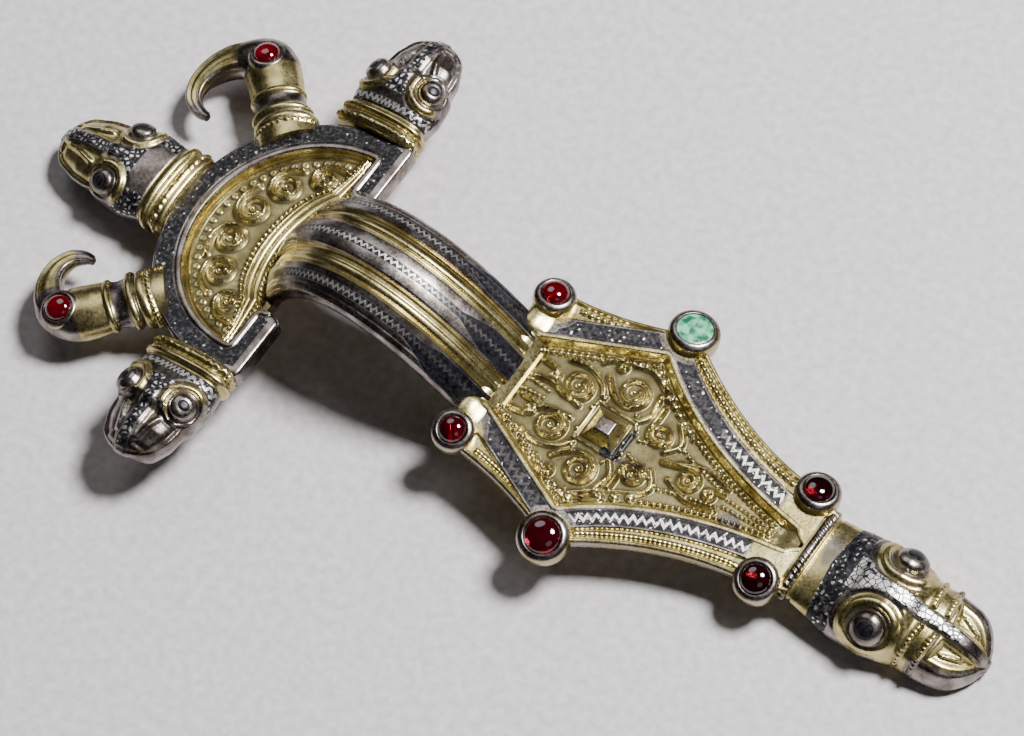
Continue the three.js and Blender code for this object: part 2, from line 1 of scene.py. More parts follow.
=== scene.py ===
"""Dresses an early medieval bow brooch: cast silver, part gilt, with niello and set stones.

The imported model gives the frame. Each part of the casting is rebuilt here as a fine closed skin in
the same place, with its chip carving, beading, punched rings and inlay. Lengths are in millimetres
and angles in degrees until a mesh is made, which is in metres.

The foot frame has its origin midway between the two stones by the bow, on the top of the rim, with
+X towards the foot end. The head frame has its origin at the middle of the half-round head plate.
"""

from __future__ import annotations

import logging
from dataclasses import dataclass, field, replace
from enum import Enum
from functools import reduce

import bpy
import numpy as np
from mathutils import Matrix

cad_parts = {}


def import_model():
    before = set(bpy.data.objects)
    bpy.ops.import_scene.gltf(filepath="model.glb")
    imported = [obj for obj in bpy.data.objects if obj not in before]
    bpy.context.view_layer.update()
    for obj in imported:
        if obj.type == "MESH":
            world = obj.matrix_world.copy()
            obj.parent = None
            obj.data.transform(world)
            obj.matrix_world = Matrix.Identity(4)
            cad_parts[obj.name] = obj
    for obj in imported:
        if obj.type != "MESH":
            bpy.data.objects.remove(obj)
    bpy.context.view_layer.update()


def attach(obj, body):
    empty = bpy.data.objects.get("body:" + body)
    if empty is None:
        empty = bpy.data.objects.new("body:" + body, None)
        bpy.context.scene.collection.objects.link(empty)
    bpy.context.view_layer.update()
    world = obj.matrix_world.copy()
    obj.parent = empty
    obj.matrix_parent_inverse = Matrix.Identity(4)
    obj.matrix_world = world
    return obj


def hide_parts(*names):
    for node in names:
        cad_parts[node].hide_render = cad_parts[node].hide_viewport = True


log = logging.getLogger("brooch")

METRES = 0.001
TAU = 2 * np.pi
TINY = 1e-9
Pair = tuple[float, float]
Triple = tuple[float, float, float]
SHARP_FROM = 62  # degrees between faces

# Values kept at every point of a skin, with what they are where nothing is said.
# inlay: depth inside a niello field, teeth and scales: strength of the silver teeth or scales
# reserved in it, where scales below 0 also keep silver specks off, along and across: place in
# the field, silver: share left without gilding, hollow: how far the surface lies below its
# surroundings, with more given to the panel floors and to the foil under each stone; the
# material darkens hollows with dirt and painted shade.
VALUES = {
    "inlay": -1.0, "teeth": 0.0, "scales": 0.0, "along": 0.0, "across": 0.0, "silver": 0.0,
    "hollow": 0.0,
}


class Side(Enum):
    """The two halves of the brooch, by the sign of Y."""

    LEFT = 1
    RIGHT = -1


class Slot(Enum):
    """Names of the material slots."""

    SILVER_GILT = "silver_gilt"
    GARNET = "garnet"
    GREEN_STONE = "green_stone"


# Frames


@dataclass(frozen=True)
class Frame:
    """A frame that is turned about Y and moved, inside another one."""

    origin: Triple
    turn: float
    outer: Frame | None = None

    def place(self, points: np.ndarray) -> np.ndarray:
        """Takes points from this frame to the object: turned about Y, moved, then placed outside.

        Args:
            points: Array whose last axis is x, y, z in this frame.

        Returns:
            The same points in the object's own frame.
        """
        cosine, sine = np.cos(np.radians(self.turn)), np.sin(np.radians(self.turn))
        x, y, z = np.moveaxis(points, -1, 0)
        moved = np.stack([x * cosine + z * sine, y, z * cosine - x * sine], -1) + self.origin
        return self.outer.place(moved) if self.outer else moved


FOOT_FRAME = Frame(origin=(0.396, 0.0, 8.562), turn=5.0)
HEAD_FRAME = Frame(origin=(-26.9, 0.0, -2.4), turn=-13.0, outer=FOOT_FRAME)


# Skins


@dataclass
class Skin:
    """A closed mesh in millimetres, with the named values at its points."""

    points: np.ndarray
    quads: np.ndarray
    triangles: np.ndarray
    values: dict[str, np.ndarray]

    def placed(self, frame: Frame) -> Skin:
        """The skin taken from a frame to the object."""
        return replace(self, points=frame.place(self.points))

    def turned(self, degrees: float, shift: Pair) -> Skin:
        """The skin turned about Z and moved along X and Y."""
        cosine, sine = np.cos(np.radians(degrees)), np.sin(np.radians(degrees))
        x, y, z = self.points.T
        turned = xyz(x * cosine - y * sine + shift[0], x * sine + y * cosine + shift[1], z)
        return replace(self, points=turned)

    def mirrored(self) -> Skin:
        """The skin on the other side of the long axis, with its faces turned round again."""
        return replace(self.flipped(), points=self.points * (1, -1, 1))

    def flipped(self) -> Skin:
        """The skin with each face turned to its other side."""
        return replace(self, quads=self.quads[:, ::-1], triangles=self.triangles[:, ::-1])

    def volume(self) -> float:
        """Six times the volume that the faces hold, negative where they point inwards."""
        corners = np.concatenate([self.quads[:, :3], self.quads[:, [0, 2, 3]], self.triangles])
        a, b, c = (self.points[corners[:, i]] for i in range(3))
        return float(np.einsum("ij,ij->i", a, np.cross(b, c)).sum())


def joined(skins: list[Skin]) -> Skin:
    """Several skins as one mesh of separate shells.

    Args:
        skins: The skins, each closed.

    Returns:
        One skin with all their points, faces and values.
    """
    starts = np.cumsum([0] + [len(skin.points) for skin in skins[:-1]])
    return Skin(
        np.concatenate([skin.points for skin in skins]),
        np.concatenate([skin.quads + start for skin, start in zip(skins, starts)]),
        np.concatenate([skin.triangles + start for skin, start in zip(skins, starts)]),
        {name: np.concatenate([skin.values[name] for skin in skins]) for name in VALUES},
    )


def softened(grid: np.ndarray, times: int) -> np.ndarray:
    """A grid of rings smoothed both ways, round each ring and then from ring to ring.

    Each point becomes half itself and a quarter of either neighbour.

    Args:
        grid: Array of rings, points and coordinates.
        times: How often the smoothing is repeated.

    Returns:
        The smoothed grid.
    """
    for _ in range(times):
        grid = (np.roll(grid, 1, 1) + 2 * grid + np.roll(grid, -1, 1)) / 4
        wide = np.concatenate([grid[:1], grid, grid[-1:]])
        grid = (wide[:-2] + 2 * wide[1:-1] + wide[2:]) / 4
    return grid


def unit(vectors: np.ndarray) -> np.ndarray:
    """Vectors brought to a length of one."""
    return vectors / np.maximum(np.linalg.norm(vectors, axis=-1, keepdims=True), TINY)


def xyz(x: object, y: object, z: object) -> np.ndarray:
    """Three coordinates, numbers or arrays, brought to one shape and joined in a last axis."""
    return np.stack(np.broadcast_arrays(x, y, z), -1)


def turns(count: int) -> np.ndarray:
    """Angles in radians, evenly spaced round one full turn."""
    return np.linspace(0, TAU, count, endpoint=False)


def least(*grids: np.ndarray) -> np.ndarray:
    """The smallest of several values at every point."""
    return reduce(np.minimum, grids)


def most(*grids: np.ndarray) -> np.ndarray:
    """The largest of several values at every point."""
    return reduce(np.maximum, grids)


def layered(base: np.ndarray, *layers: tuple[np.ndarray, object]) -> np.ndarray:
    """A base painted over, in turn, with each layer's value where its test holds.

    Args:
        base: The values underneath.
        *layers: Pairs of a test and a value.

    Returns:
        The painted values.
    """
    for test, value in layers:
        base = np.where(test, value, base)
    return base


def outward(rings: np.ndarray) -> np.ndarray:
    """Unit normals of a tube of rings: the cross product of its two grid directions.

    Args:
        rings: Array of rings, points and coordinates.

    Returns:
        One normal a point, pointing away from the middle of its ring.
    """
    around = np.roll(rings, -1, 1) - np.roll(rings, 1, 1)
    normals = unit(np.cross(around, np.gradient(rings, axis=0)))
    spokes = rings - rings.mean(1, keepdims=True)
    return normals * np.sign(np.sum(normals * spokes))


def tube(rings: np.ndarray, looped: bool = False, reach: int = 8, **values: np.ndarray) -> Skin:
    """Joins rings of points into a closed skin, filling the first and last with a fan.

    Args:
        rings: Array of rings, points round each ring, and x, y, z.
        looped: Whether the last ring joins the first instead.
        reach: How many smoothing steps the hollows are measured against.
        **values: Arrays of rings by points for any of VALUES. A hollow adds to the measured one.

    Returns:
        The skin, with its faces pointing outwards.
    """
    rows, sides = rings.shape[:2]
    sunk = np.sum((softened(rings, reach) - rings) * outward(rings), axis=-1)
    filled = {**VALUES, **values, "hollow": sunk + values.get("hollow", 0.0)}
    index = np.arange(rows * sides).reshape(rows, sides)
    ahead = np.roll(index, -1, 0)
    if not looped:
        index, ahead = index[:-1], ahead[:-1]
    quads = np.stack([index, np.roll(index, -1, 1), np.roll(ahead, -1, 1), ahead], -1)
    quads = quads.reshape(-1, 4)
    points, triangles, ends = rings.reshape(-1, 3), np.zeros((0, 3), int), 0 if looped else 2
    if ends:
        first, last = np.arange(sides), np.arange(sides) + (rows - 1) * sides
        low, high = np.full(sides, rows * sides), np.full(sides, rows * sides + 1)
        fans = ((low, np.roll(first, -1), first), (high, last, np.roll(last, -1)))
        triangles = np.concatenate([np.stack(fan, -1) for fan in fans])
        points = np.concatenate([points, rings[[0, -1]].mean(1)])
    kept = {}
    for name, given in filled.items():
        grid = np.broadcast_to(given, (rows, sides))
        kept[name] = np.concatenate([grid.ravel(), grid[[0, -1]].mean(1)[:ends]])
        kept[name] = kept[name].astype(np.float32)
    skin = Skin(points, quads, triangles, kept)
    return skin if skin.volume() > 0 else skin.flipped()


def carved(rings: np.ndarray, relief: np.ndarray, **values: np.ndarray) -> Skin:
    """Rings raised along their normals by a relief, and closed."""
    return tube(rings + outward(rings) * relief[..., None], **values)


def turned_profile(profile: np.ndarray, sides: int, **values: np.ndarray) -> Skin:
    """A profile of radius and height turned round the Z axis.

    Args:
        profile: Array of radius and height from the lower pole to the upper one.
        sides: How many steps the turn has.
        **values: One number a profile point for any of VALUES.

    Returns:
        The turned skin, closed at both poles.
    """
    radius, height = profile[:, :1], profile[:, 1:]
    rings = xyz(radius * np.cos(turns(sides)), radius * np.sin(turns(sides)), height)
    return tube(rings, reach=2, **{name: given[:, None] for name, given in values.items()})


# Plates, ruled row by row across their width


def ruled(
    inner: np.ndarray, outer: np.ndarray, wall: np.ndarray, count: int,
) -> tuple[np.ndarray, np.ndarray, np.ndarray]:
    """Rows of points from the foot of a panel's wall, over its upper edge, to the outer edge.

    Args:
        inner: Points of the wall's upper edge.
        outer: The outer edge, point for point.
        wall: How far inside the upper edge the wall's foot lies, in a column.
        count: Points from one edge to the other; the wall has six more.

    Returns:
        x, y, and the distance across from the upper edge, negative on the wall.
    """
    width = np.linalg.norm(outer - inner, axis=1, keepdims=True)
    spoke = (outer - inner) / width
    slope = np.linspace(-1, 0, 7)[:-1] * wall
    across = np.concatenate([slope, width * np.linspace(0, 1, count)], 1)
    return inner[:, :1] + spoke[:, :1] * across, inner[:, 1:] + spoke[:, 1:] * across, across


def walled(z: np.ndarray, across: np.ndarray, slope: float, depth: float) -> np.ndarray:
    """Heights that fall to the panel's floor, and a little below it, where across is negative."""
    fall = np.clip(-across / slope, 0, 1) ** 1.2
    return np.where(across < 0, -(depth + 0.1) * fall, z)


def hidden_side(top: np.ndarray, flank: tuple[Pair, ...], shares: Triple) -> np.ndarray:
    """The outer flank and the flat back of a border, from its outer edge in to the wall's foot.

    Args:
        top: Rows of the top's points, from the wall's foot to the outer edge.
        flank: Inset and height of each line down the flank; the back has the last height.
        shares: How far in the lines of the back lie.

    Returns:
        Rows of points that close the top's rows to rings.
    """
    foot, outer = top[:, 0, :2], top[:, -1, :2]
    places = [(outer + unit(foot - outer) * inset, height) for inset, height in flank]
    places += [(outer + (foot - outer) * share, flank[-1][1]) for share in shares]
    return np.stack([xyz(*flat.T, height) for flat, height in places], 1)


def covered(
    top: np.ndarray, under: np.ndarray, reach: int = 8, **values: tuple[np.ndarray, float],
) -> Skin:
    """A plate: each row of its top is closed to a ring by a row of its hidden side.

    Args:
        top: Array of rows, points and coordinates.
        under: The same for the hidden side.
        reach: How many smoothing steps the hollows are measured against.
        **values: For any of VALUES, the array on the top and the number on the hidden side.

    Returns:
        The plate's skin.
    """
    rest = ((0, 0), (0, under.shape[1]))
    padded = {name: np.pad(grid, rest, constant_values=low) for name, (grid, low) in values.items()}
    return tube(np.concatenate([top, under], 1), reach=reach, **padded)


# Flat curves


def run(start: Pair, end: Pair, count: int) -> np.ndarray:
    """A straight stretch: evenly spaced points from start up to, but not with, the end."""
    share = np.linspace(0, 1, count, endpoint=False)[:, None]
    return np.array(start) * (1 - share) + np.array(end) * share


def bend(
    start: Pair, middle: Pair, end: Pair, count: int,
) -> np.ndarray:
    """A curved stretch, drawn from start to end and pulled towards the middle point.

    Args:
        start: First point.
        middle: Point that the curve leans to, where its two end tangents meet.
        end: Last point, which isn't among those given back.
        count: How many points.

    Returns:
        Array of points, where each is (1-t)^2 start + 2t(1-t) middle + t^2 end.
    """
    t = np.linspace(0, 1, count, endpoint=False)[:, None]
    a, b, c = np.array(start), np.array(middle), np.array(end)
    return (1 - t) ** 2 * a + 2 * t * (1 - t) * b + t**2 * c


def arc(centre: Pair, radius: float, low: float, high: float, count: int) -> np.ndarray:
    """Points on a circle from one angle up to, but not with, another."""
    turn = np.radians(np.linspace(low, high, count, endpoint=False))
    return np.stack([centre[0] + radius * np.cos(turn), centre[1] + radius * np.sin(turn)], -1)


def lengths(line: np.ndarray) -> np.ndarray:
    """Length along a line of points, up to each of them."""
    return np.concatenate([[0], np.cumsum(np.linalg.norm(np.diff(line, axis=0), axis=1))])


def beside(line: np.ndarray, out: np.ndarray) -> tuple[np.ndarray, np.ndarray]:
    """Both coordinates of places some way out to the left of each point of a line."""
    ahead = unit(np.gradient(line, axis=0))
    return line[:, :1] - ahead[:, 1:] * out, line[:, 1:] + ahead[:, :1] * out


def through(points: list[Pair], count: int) -> np.ndarray:
    """A smooth curve through points, evenly spaced along its length.

    Each stretch is a cubic whose tangent at a point is half the step between its neighbours.

    Args:
        points: The points that the curve passes.
        count: How many points it is given.

    Returns:
        Array of count points.
    """
    given = np.array(points, float)
    wide = np.concatenate([given[:1], given, given[-1:]])
    at = np.linspace(0, len(given) - 1, 400)
    leg = np.minimum(at.astype(int), len(given) - 2)
    t = (at - leg)[:, None]
    before, start, end, after = (wide[leg + i] for i in range(4))
    leave, arrive = (end - before) / 2, (after - start) / 2
    cubic = (2 * t**3 - 3 * t**2 + 1) * start + (t**3 - 2 * t**2 + t) * leave
    cubic += (3 * t**2 - 2 * t**3) * end + (t**3 - t**2) * arrive
    length = lengths(cubic)
    even = np.linspace(0, length[-1], count)
    return np.stack([np.interp(even, length, cubic[:, i]) for i in range(2)], -1)


def distance_to(path: np.ndarray, x: np.ndarray, y: np.ndarray) -> tuple[np.ndarray, np.ndarray]:
    """How far points are from a path, and how far along it their nearest place is.

    Each point is dropped square onto every leg of the path, and the nearest foot is kept.

    Args:
        path: Array of the path's corners.
        x: First coordinate of the points.
        y: Second coordinate.

    Returns:
        Distance, and length along the path, in the shape of x.
    """
    nearest = np.full(x.shape, np.inf)
    along = np.zeros(x.shape)
    done = 0.0
    for start, leg in zip(path[:-1], np.diff(path, axis=0)):
        length = float(np.hypot(*leg))
        if not length:
            continue
        foot = np.clip(((x - start[0]) * leg[0] + (y - start[1]) * leg[1]) / length**2, 0, 1)
        gap = np.hypot(x - start[0] - foot * leg[0], y - start[1] - foot * leg[1])
        closer = gap < nearest
        nearest = np.where(closer, gap, nearest)
        along = np.where(closer, done + foot * length, along)
        done += length
    return nearest, along


# Ornament: each function gives a height from 0 to 1 for whole arrays of points


def step(value: np.ndarray, low: float, high: float) -> np.ndarray:
    """A smooth rise from 0 to 1 as the value goes from low to high: 3t^2 - 2t^3."""
    t = np.clip((value - low) / (high - low), 0, 1)
    return t * t * (3 - 2 * t)


def sharp(distance: np.ndarray, half: float) -> np.ndarray:
    """A roof-shaped ridge: one on its line, and none at half its width."""
    return np.clip(1 - np.abs(distance) / half, 0, 1)


def rounded(distance: np.ndarray, half: float) -> np.ndarray:
    """A ridge with a half-circle section."""
    return np.sqrt(np.clip(1 - (distance / half) ** 2, 0, 1))


def slip(along: np.ndarray, pitch: float) -> np.ndarray:
    """Signed distance along a row to the middle of the nearest repeat."""
    return (along / pitch - np.floor(along / pitch) - 0.5) * pitch


def beads(distance: np.ndarray, along: np.ndarray, pitch: float, radius: float) -> np.ndarray:
    """A row of balls, each a half circle round the middle of its repeat."""
    return rounded(np.hypot(distance, slip(along, pitch)), radius)


def punched(distance: np.ndarray, along: np.ndarray, pitch: float, radius: float) -> np.ndarray:
    """A row of ring punches: a thin ridge on a circle in each repeat, with a dot in its middle."""
    reach = np.hypot(distance, slip(along, pitch))
    return np.maximum(rounded(reach - radius, 0.16), 0.8 * rounded(reach, 0.15))


def rope(offset: np.ndarray, along: np.ndarray, pitch: float, half: float) -> np.ndarray:
    """A twisted wire: a rounded ridge cut by slanted grooves one pitch apart."""
    twist = np.cos(TAU * (along / pitch + offset / (2.4 * half)))
    return rounded(offset, half) * (0.72 + 0.28 * twist)


@dataclass(frozen=True)
class Scroll:
    """A chip-carved scroll: a crest winds round a ball and runs out into a tail.

    hand is 1 where it winds outwards to the left and -1 to the right. It leaves its last turn at
    the angle leave, in degrees, and ends at the tail's tip.
    """

    centre: Pair
    radius: float
    leave: float
    hand: int
    tip: Pair
    turns: float = 1.45
    line: float = 0.27

    def path(self) -> np.ndarray:
        """The crest's line: radius grows evenly with the turn, then a bend runs to the tip."""
        share = np.linspace(0, 1, 44)
        turn = np.radians(self.leave) - self.hand * TAU * self.turns * (1 - share)
        reach = self.radius * (0.42 + 0.58 * share)
        curl = np.stack([reach * np.cos(turn), reach * np.sin(turn)], -1) + self.centre
        ahead = curl[-1] - curl[-2]
        ahead = ahead / np.linalg.norm(ahead) * 0.45 * np.linalg.norm(np.array(self.tip) - curl[-1])
        end = curl[-1]
        return np.concatenate([curl, bend(tuple(end), tuple(end + ahead), self.tip, 10)[1:]])

    def height(self, x: np.ndarray, y: np.ndarray) -> np.ndarray:
        """Height from 0 to 1: thin crests, hollow valleys between them, and the ball.

        Args:
            x: First coordinate of the points.
            y: Second coordinate.

        Returns:
            The height at every point.
        """
        near = np.hypot(x - self.centre[0], y - self.centre[1])
        span = self.radius + np.hypot(self.tip[0] - self.centre[0], self.tip[1] - self.centre[1])
        height = np.zeros(x.shape)
        close = near < span
        gap = distance_to(self.path(), x[close], y[close])[0]
        height[close] = sharp(gap, 1.9 * self.line) ** 1.6
        dish = 0.25 * (1 - np.clip(near / self.radius, 0, 1)) * (near < self.radius)
        return np.maximum(height - dish, 0.85 * rounded(near, 0.2 * self.radius))


# Foot plate


@dataclass(frozen=True)
class FootPlate:
    """The lozenge foot plate: a border with niello bands round a sunk, carved panel."""

    thickness: float = 2.0
    bow_end: float = -1.6
    bow_stone: Pair = (0.0, 9.6)
    side_stone: Pair = (14.8, 14.4)
    end_stone: Pair = (35.9, 6.0)
    end: float = 39.2
    border_floor: float = 0.4
    panel_depth: float = 1.25
    panel_start: Pair = (1.2, 4.9)
    wall_slope: float = 0.5
    niello_inset: float = 0.6
    niello_end: float = 2.35
    bead_inset: float = 1.15
    left_pitch: float = 0.72
    right_pitch: float = 0.5
    flank: tuple[Pair, ...] = ((0.0, -0.6), (0.02, -1.1), (0.08, -1.6), (0.2, -1.9), (0.4, -2.0))
    boss_along: float = 13.0
    steps: tuple[int, ...] = (14, 105, 18, 150, 34)

    def outline(self) -> np.ndarray:
        """Outer edge of the left half, from the bow to the end head.

        Returns:
            Points of the edge, as many in each stretch as the panel's edge has.
        """
        side, tail = self.side_stone, self.end_stone
        front, corner = (0.5, self.bow_stone[1] + 1.3), (side[0] - 1.3, side[1] - 0.5)
        back, last = (side[0] + 1.6, side[1] - 0.4), (tail[0] - 1.3, tail[1] + 0.6)
        a, b, c, d, e = self.steps
        return np.concatenate([
            run((self.bow_end, front[1] - 2.3), front, a),
            bend(front, (side[0] * 0.47, front[1] + 0.3), corner, b),
            run(corner, back, c),
            bend(back, ((side[0] + tail[0]) / 2, tail[1] + 1.6), last, d),
            run(last, (self.end, tail[1] - 0.6), e),
        ])

    def panel_edge(self) -> np.ndarray:
        """Upper edge of the sunk panel's left wall, point for point beside the outline.

        Returns:
            Points from the bow to the end head; past the panel they run along the middle.
        """
        corner = (self.side_stone[0] - 0.9, self.side_stone[1] - 3.6)
        tip = (self.end_stone[0] + 0.4, 1.35)
        a, b, c, d, e = self.steps
        before, after = (corner[0] - 0.4, corner[1] - 0.2), (corner[0] + 0.45, corner[1] - 0.45)
        return np.concatenate([
            run((self.bow_end, self.panel_start[1]), self.panel_start, a),
            run(self.panel_start, before, b),
            bend(before, corner, after, c),
            bend(after, (self.side_stone[0] + 7.7, corner[1] * 0.31), tip, d),
            bend(tip, (tip[0] + 0.9, -0.05), (self.end, -0.05), e),
        ])

    def border(self, side: Side) -> Skin:
        """One half of the border: a section ruled from the panel's wall out to the edge.

        Across it come the wall, a bright lip, the niello band, a groove, a beaded line and the
        rounded edge. Heights follow from the distances to both edges.

        Args:
            side: Which half.

        Returns:
            The border's skin in the foot frame.
        """
        outer, inner = self.outline(), self.panel_edge()
        x, y, across = ruled(inner, outer, np.full((len(inner), 1), self.wall_slope), 62)
        from_panel, along = distance_to(inner[::4], x, y)
        from_edge, edge_along = distance_to(outer[::4], x, y)
        stone = least(*(np.hypot(x - at[0], y - at[1]) for at in (self.side_stone, self.bow_stone)))
        groove = step(from_panel, self.niello_end + 0.2, self.niello_end + 0.4)
        groove = groove * step(from_edge, 0.4, 0.6) * step(from_edge + 3 * (x > 33.5), 0, 0.3)
        tail = step(x, 32.5, 34.5)
        pitch = self.left_pitch if side is Side.LEFT else self.right_pitch
        line = beads(from_edge - self.bead_inset, edge_along, pitch, 0.36)
        line *= step(stone, 3.0, 3.3) * step(x, 1.5, 2) * (1 - tail)
        floor = -self.border_floor
        z = most(floor * groove * (1 - tail), floor + 0.36 * line * groove)
        z += 0.07 * rounded(from_panel - 0.25, 0.3)
        z -= 0.3 * (1 - rounded(from_edge - 0.42, 0.42)) * (from_edge < 0.42)
        z = walled(z, across, self.wall_slope, self.panel_depth)
        band = least(
            from_panel - self.niello_inset, self.niello_end - from_panel, stone - 3.7, x - 2.4,
            (33.2 - x) * 0.5,
        )
        # The teeth are worn off in front of the side stones, and further back on the left
        back = step(x, 15, 16)
        left, right = 0.15 + 0.85 * back * step(x, 23, 26), 0.2 + 0.8 * back
        silver = step(from_panel, 0.25, 0.45) * step(self.niello_end + 0.35 - from_panel, 0, 0.15)
        silver = silver * (1 - tail) * (across > 0) * step(stone, 2.9, 3.4)
        top = xyz(x, y, z)
        mirror = (1, side.value, 1)
        return covered(
            top * mirror, hidden_side(top, self.flank, (0.3, 0.6, 1.0)) * mirror,
            inlay=(np.where(across < 0, -1.0, band), -1.0),
            teeth=(left if side is Side.LEFT else right, 0.0), along=(along, 0.0),
            across=(from_panel - 1.5, 0.0), silver=(most(silver, 0.6 * (from_edge < 0.12)), 0.5),
        )

    def panel_relief(
        self, x: np.ndarray, y: np.ndarray, inside: np.ndarray, along: np.ndarray,
    ) -> np.ndarray:
        """Height of the carving over the sunk floor.

        It is the same on both sides but for the tail's scrolls and the rows along the edges.

        Args:
            x: Along the brooch.
            y: Across it.
            inside: Distance in from the panel's edge.
            along: Length along that edge.

        Returns:
            Height in millimetres.
        """
        half, middle = np.abs(y), self.boss_along
        carving = 0.3 * sharp(inside - 0.66, 0.2)
        for scroll in (
            Scroll((7.7, 2.75), 1.75, -100, -1, (4.4, 3.6)),
            Scroll((13.1, 5.35), 1.85, -112, -1, (9.6, 5.9)),
            Scroll((18.2, 2.75), 1.35, 165, -1, (16.9, 5.9)),
            Scroll((4.9, 2.3), 0.5, 60, 1, (3.0, 3.3), 0.8),
            Scroll((10.4, 7.2), 0.5, 90, 1, (8.3, 6.3), 0.8),
            Scroll((16.6, 7.0), 0.5, 90, 1, (15.4, 8.0), 0.8),
        ):
            carving = most(carving, 0.6 * scroll.height(x, half))
        tail = (
            Scroll((23.5, 0.0), 1.3, 115, 1, (19.9, 0.2)),
            Scroll((26.3, -0.2), 0.5, 200, -1, (28.0, 0.7)),
        )
        carving = most(carving, *(0.6 * scroll.height(x, y) for scroll in tail))
        # Each edge has its own beads: fine in front, rings on the right, large balls behind
        fine = beads(inside - 1.05, along, 0.66, 0.28)
        for reach, row in (
            ((x < middle) & (y > 0), beads(inside - 1.15, along, 0.72, 0.3)),
            ((x < middle) & (y < 0), punched(inside - 1.2, along, 1.3, 0.36)),
            ((x >= middle) & (x < 21.5) & (y > 0), beads(inside - 1.2, along, 1.05, 0.45)),
            ((x >= middle) & (x < 20.5) & (y < 0), beads(inside - 1.35, along, 1.6, 0.5)),
            ((x >= middle) & (x < 20.5) & (y < 0), 0.6 * rounded(inside - 2.1, 0.2)),
            ((x >= 21.5) & (y > 0) | (x >= 20.5) & (y < 0), fine),
        ):
            carving = most(carving, 0.42 * row * reach)
        beaded = (
            ((16.4, 0.9), (21.6, 2.7)), ((21.9, 2.4), (27.5, 0.9)), ((28.0, 0.5), (34.0, 0.2)),
            ((10.2, 1.2), (11.0, 3.4)), ((14.6, 3.5), (16.0, 1.3)), ((2.9, 0.7), (5.4, 0.5)),
        )
        for ends in beaded:
            carving = most(carving, 0.32 * beads(*distance_to(np.array(ends), x, half), 0.56, 0.25))
        tendrils = (
            ((3.4, 1.3), (5.6, 1.5), (9.0, 0.8)), ((5.4, 4.9), (7.6, 5.2), (9.8, 4.4), (10.6, 3.3)),
            ((15.3, 2.7), (16.2, 4.1), (15.8, 6.6)), ((19.6, 1.3), (20.7, 3.1), (19.3, 5.1)),
            ((21.7, 1.1), (24.4, 2.1), (27.6, 1.5)), ((11.6, 8.2), (13.6, 8.6), (15.6, 7.6)),
        )
        for points in tendrils:
            gap = distance_to(through(list(points), 16), x, half)[0]
            carving = most(carving, 0.42 * sharp(gap, 0.42))
        boss = most(np.abs(x - middle), half)
        pyramid = 1.35 * np.clip((2.0 - boss) / 1.15, 0, 1)
        carving = most(np.where(boss < 2.3, 0, carving), 0.22 * sharp(boss - 2.45, 0.25), pyramid)
        return carving * step(inside, 0.1, 0.5)

    def panel(self) -> Skin:
        """The floor of the sunk panel with its carving, ruled across from wall to wall.

        Returns:
            The panel's skin in the foot frame.
        """
        edge = self.panel_edge()[self.steps[0]:-self.steps[4] // 2]
        x = np.linspace(0.4, edge[-1, 0], 345)[:, None]
        reach = np.interp(x, edge[:, 0], edge[:, 1]) + 0.15
        y = np.linspace(-1, 1, 168) * reach
        x = np.broadcast_to(x, y.shape)
        inside, along = distance_to(edge[::5], x, np.abs(y))
        inside = np.where(np.abs(y) > reach - 0.15, 0, inside)
        relief = self.panel_relief(x, y, inside, along)
        rising = step(x, 34.2, edge[-1, 0]) * (self.panel_depth - 0.05)
        top = xyz(x, y, relief * (1 - step(x, 33.5, 35)) - self.panel_depth + rising)
        under = top[:, ::-24] * (1, 1, 0) - (0, 0, self.thickness)
        # The gilding is worn off the boss's top and in a strip from its foot towards the right
        paths = ((1.2, -2.2), (2.4, -2.2), (2.6, 1.2)), ((2.4, -2.2), (5.2, -2.0), (5.6, -1.0))
        strip, trail = (
            distance_to(np.array(path), x - self.boss_along, y)[0] for path in paths
        )
        blot = least(np.hypot(x - 29.8, (y + 1.6) * 1.2), strip + 1.0, trail + 1.0)
        silver = most(0.85 * step(relief, 1.1, 1.34), 0.75 * step(1.7 - blot, 0, 0.7))
        # The floor between the carving gets extra hollow: painted shade, darker than the crests
        return covered(
            top, under, reach=10, hollow=(0.13 * (1 - np.clip(relief / 0.3, 0, 1)), 0.0),
            silver=(silver, 0.5), inlay=(np.where(relief < 1.1, 0.5 - strip, -1), -1.0),
        )

    def saddle(self) -> Skin:
        """The cross bar on which the bow ends, with the panel's sloped front wall.

        A profile across the bar is carried along Y; its front slopes down to the panel's floor
        between the two corners of the panel.

        Returns:
            The saddle's skin in the foot frame.
        """
        y = np.linspace(-8.3, 8.3, 130)
        between = step(self.panel_start[1] + 0.2 - np.abs(y), -0.5, 0.5)
        arch = 0.3 * rounded(y, 8.6)
        lump = 0.35 * rounded(np.abs(y) - 6.3, 1.4)
        low = -0.05 - (self.panel_depth - 0.05) * between
        places = (
            (self.bow_end, -self.thickness), (self.bow_end, 0.0), (-1.2, arch + lump),
            (-0.4, arch + lump), (0.0, arch * 0.85 + lump), (0.4, arch * 0.5 + lump * 0.9),
            (0.9, low * 0.2 + lump * 0.5), (1.5, low * 0.52 + lump * 0.1), (2.1, low * 0.86),
            (2.3, low), (2.3 + 0.12 * between, low + 0.12 * between),
            (2.3 + 0.26 * between, low + 0.3 * between),
            (2.3 + 0.4 * between, low + 0.12 * between),
            (2.3 + 0.52 * between, low - 0.02), (2.3 + 0.6 * between, -self.thickness),
        )
        return tube(np.stack([xyz(x, y, z) for x, z in places], 1), reach=1)


# Bow


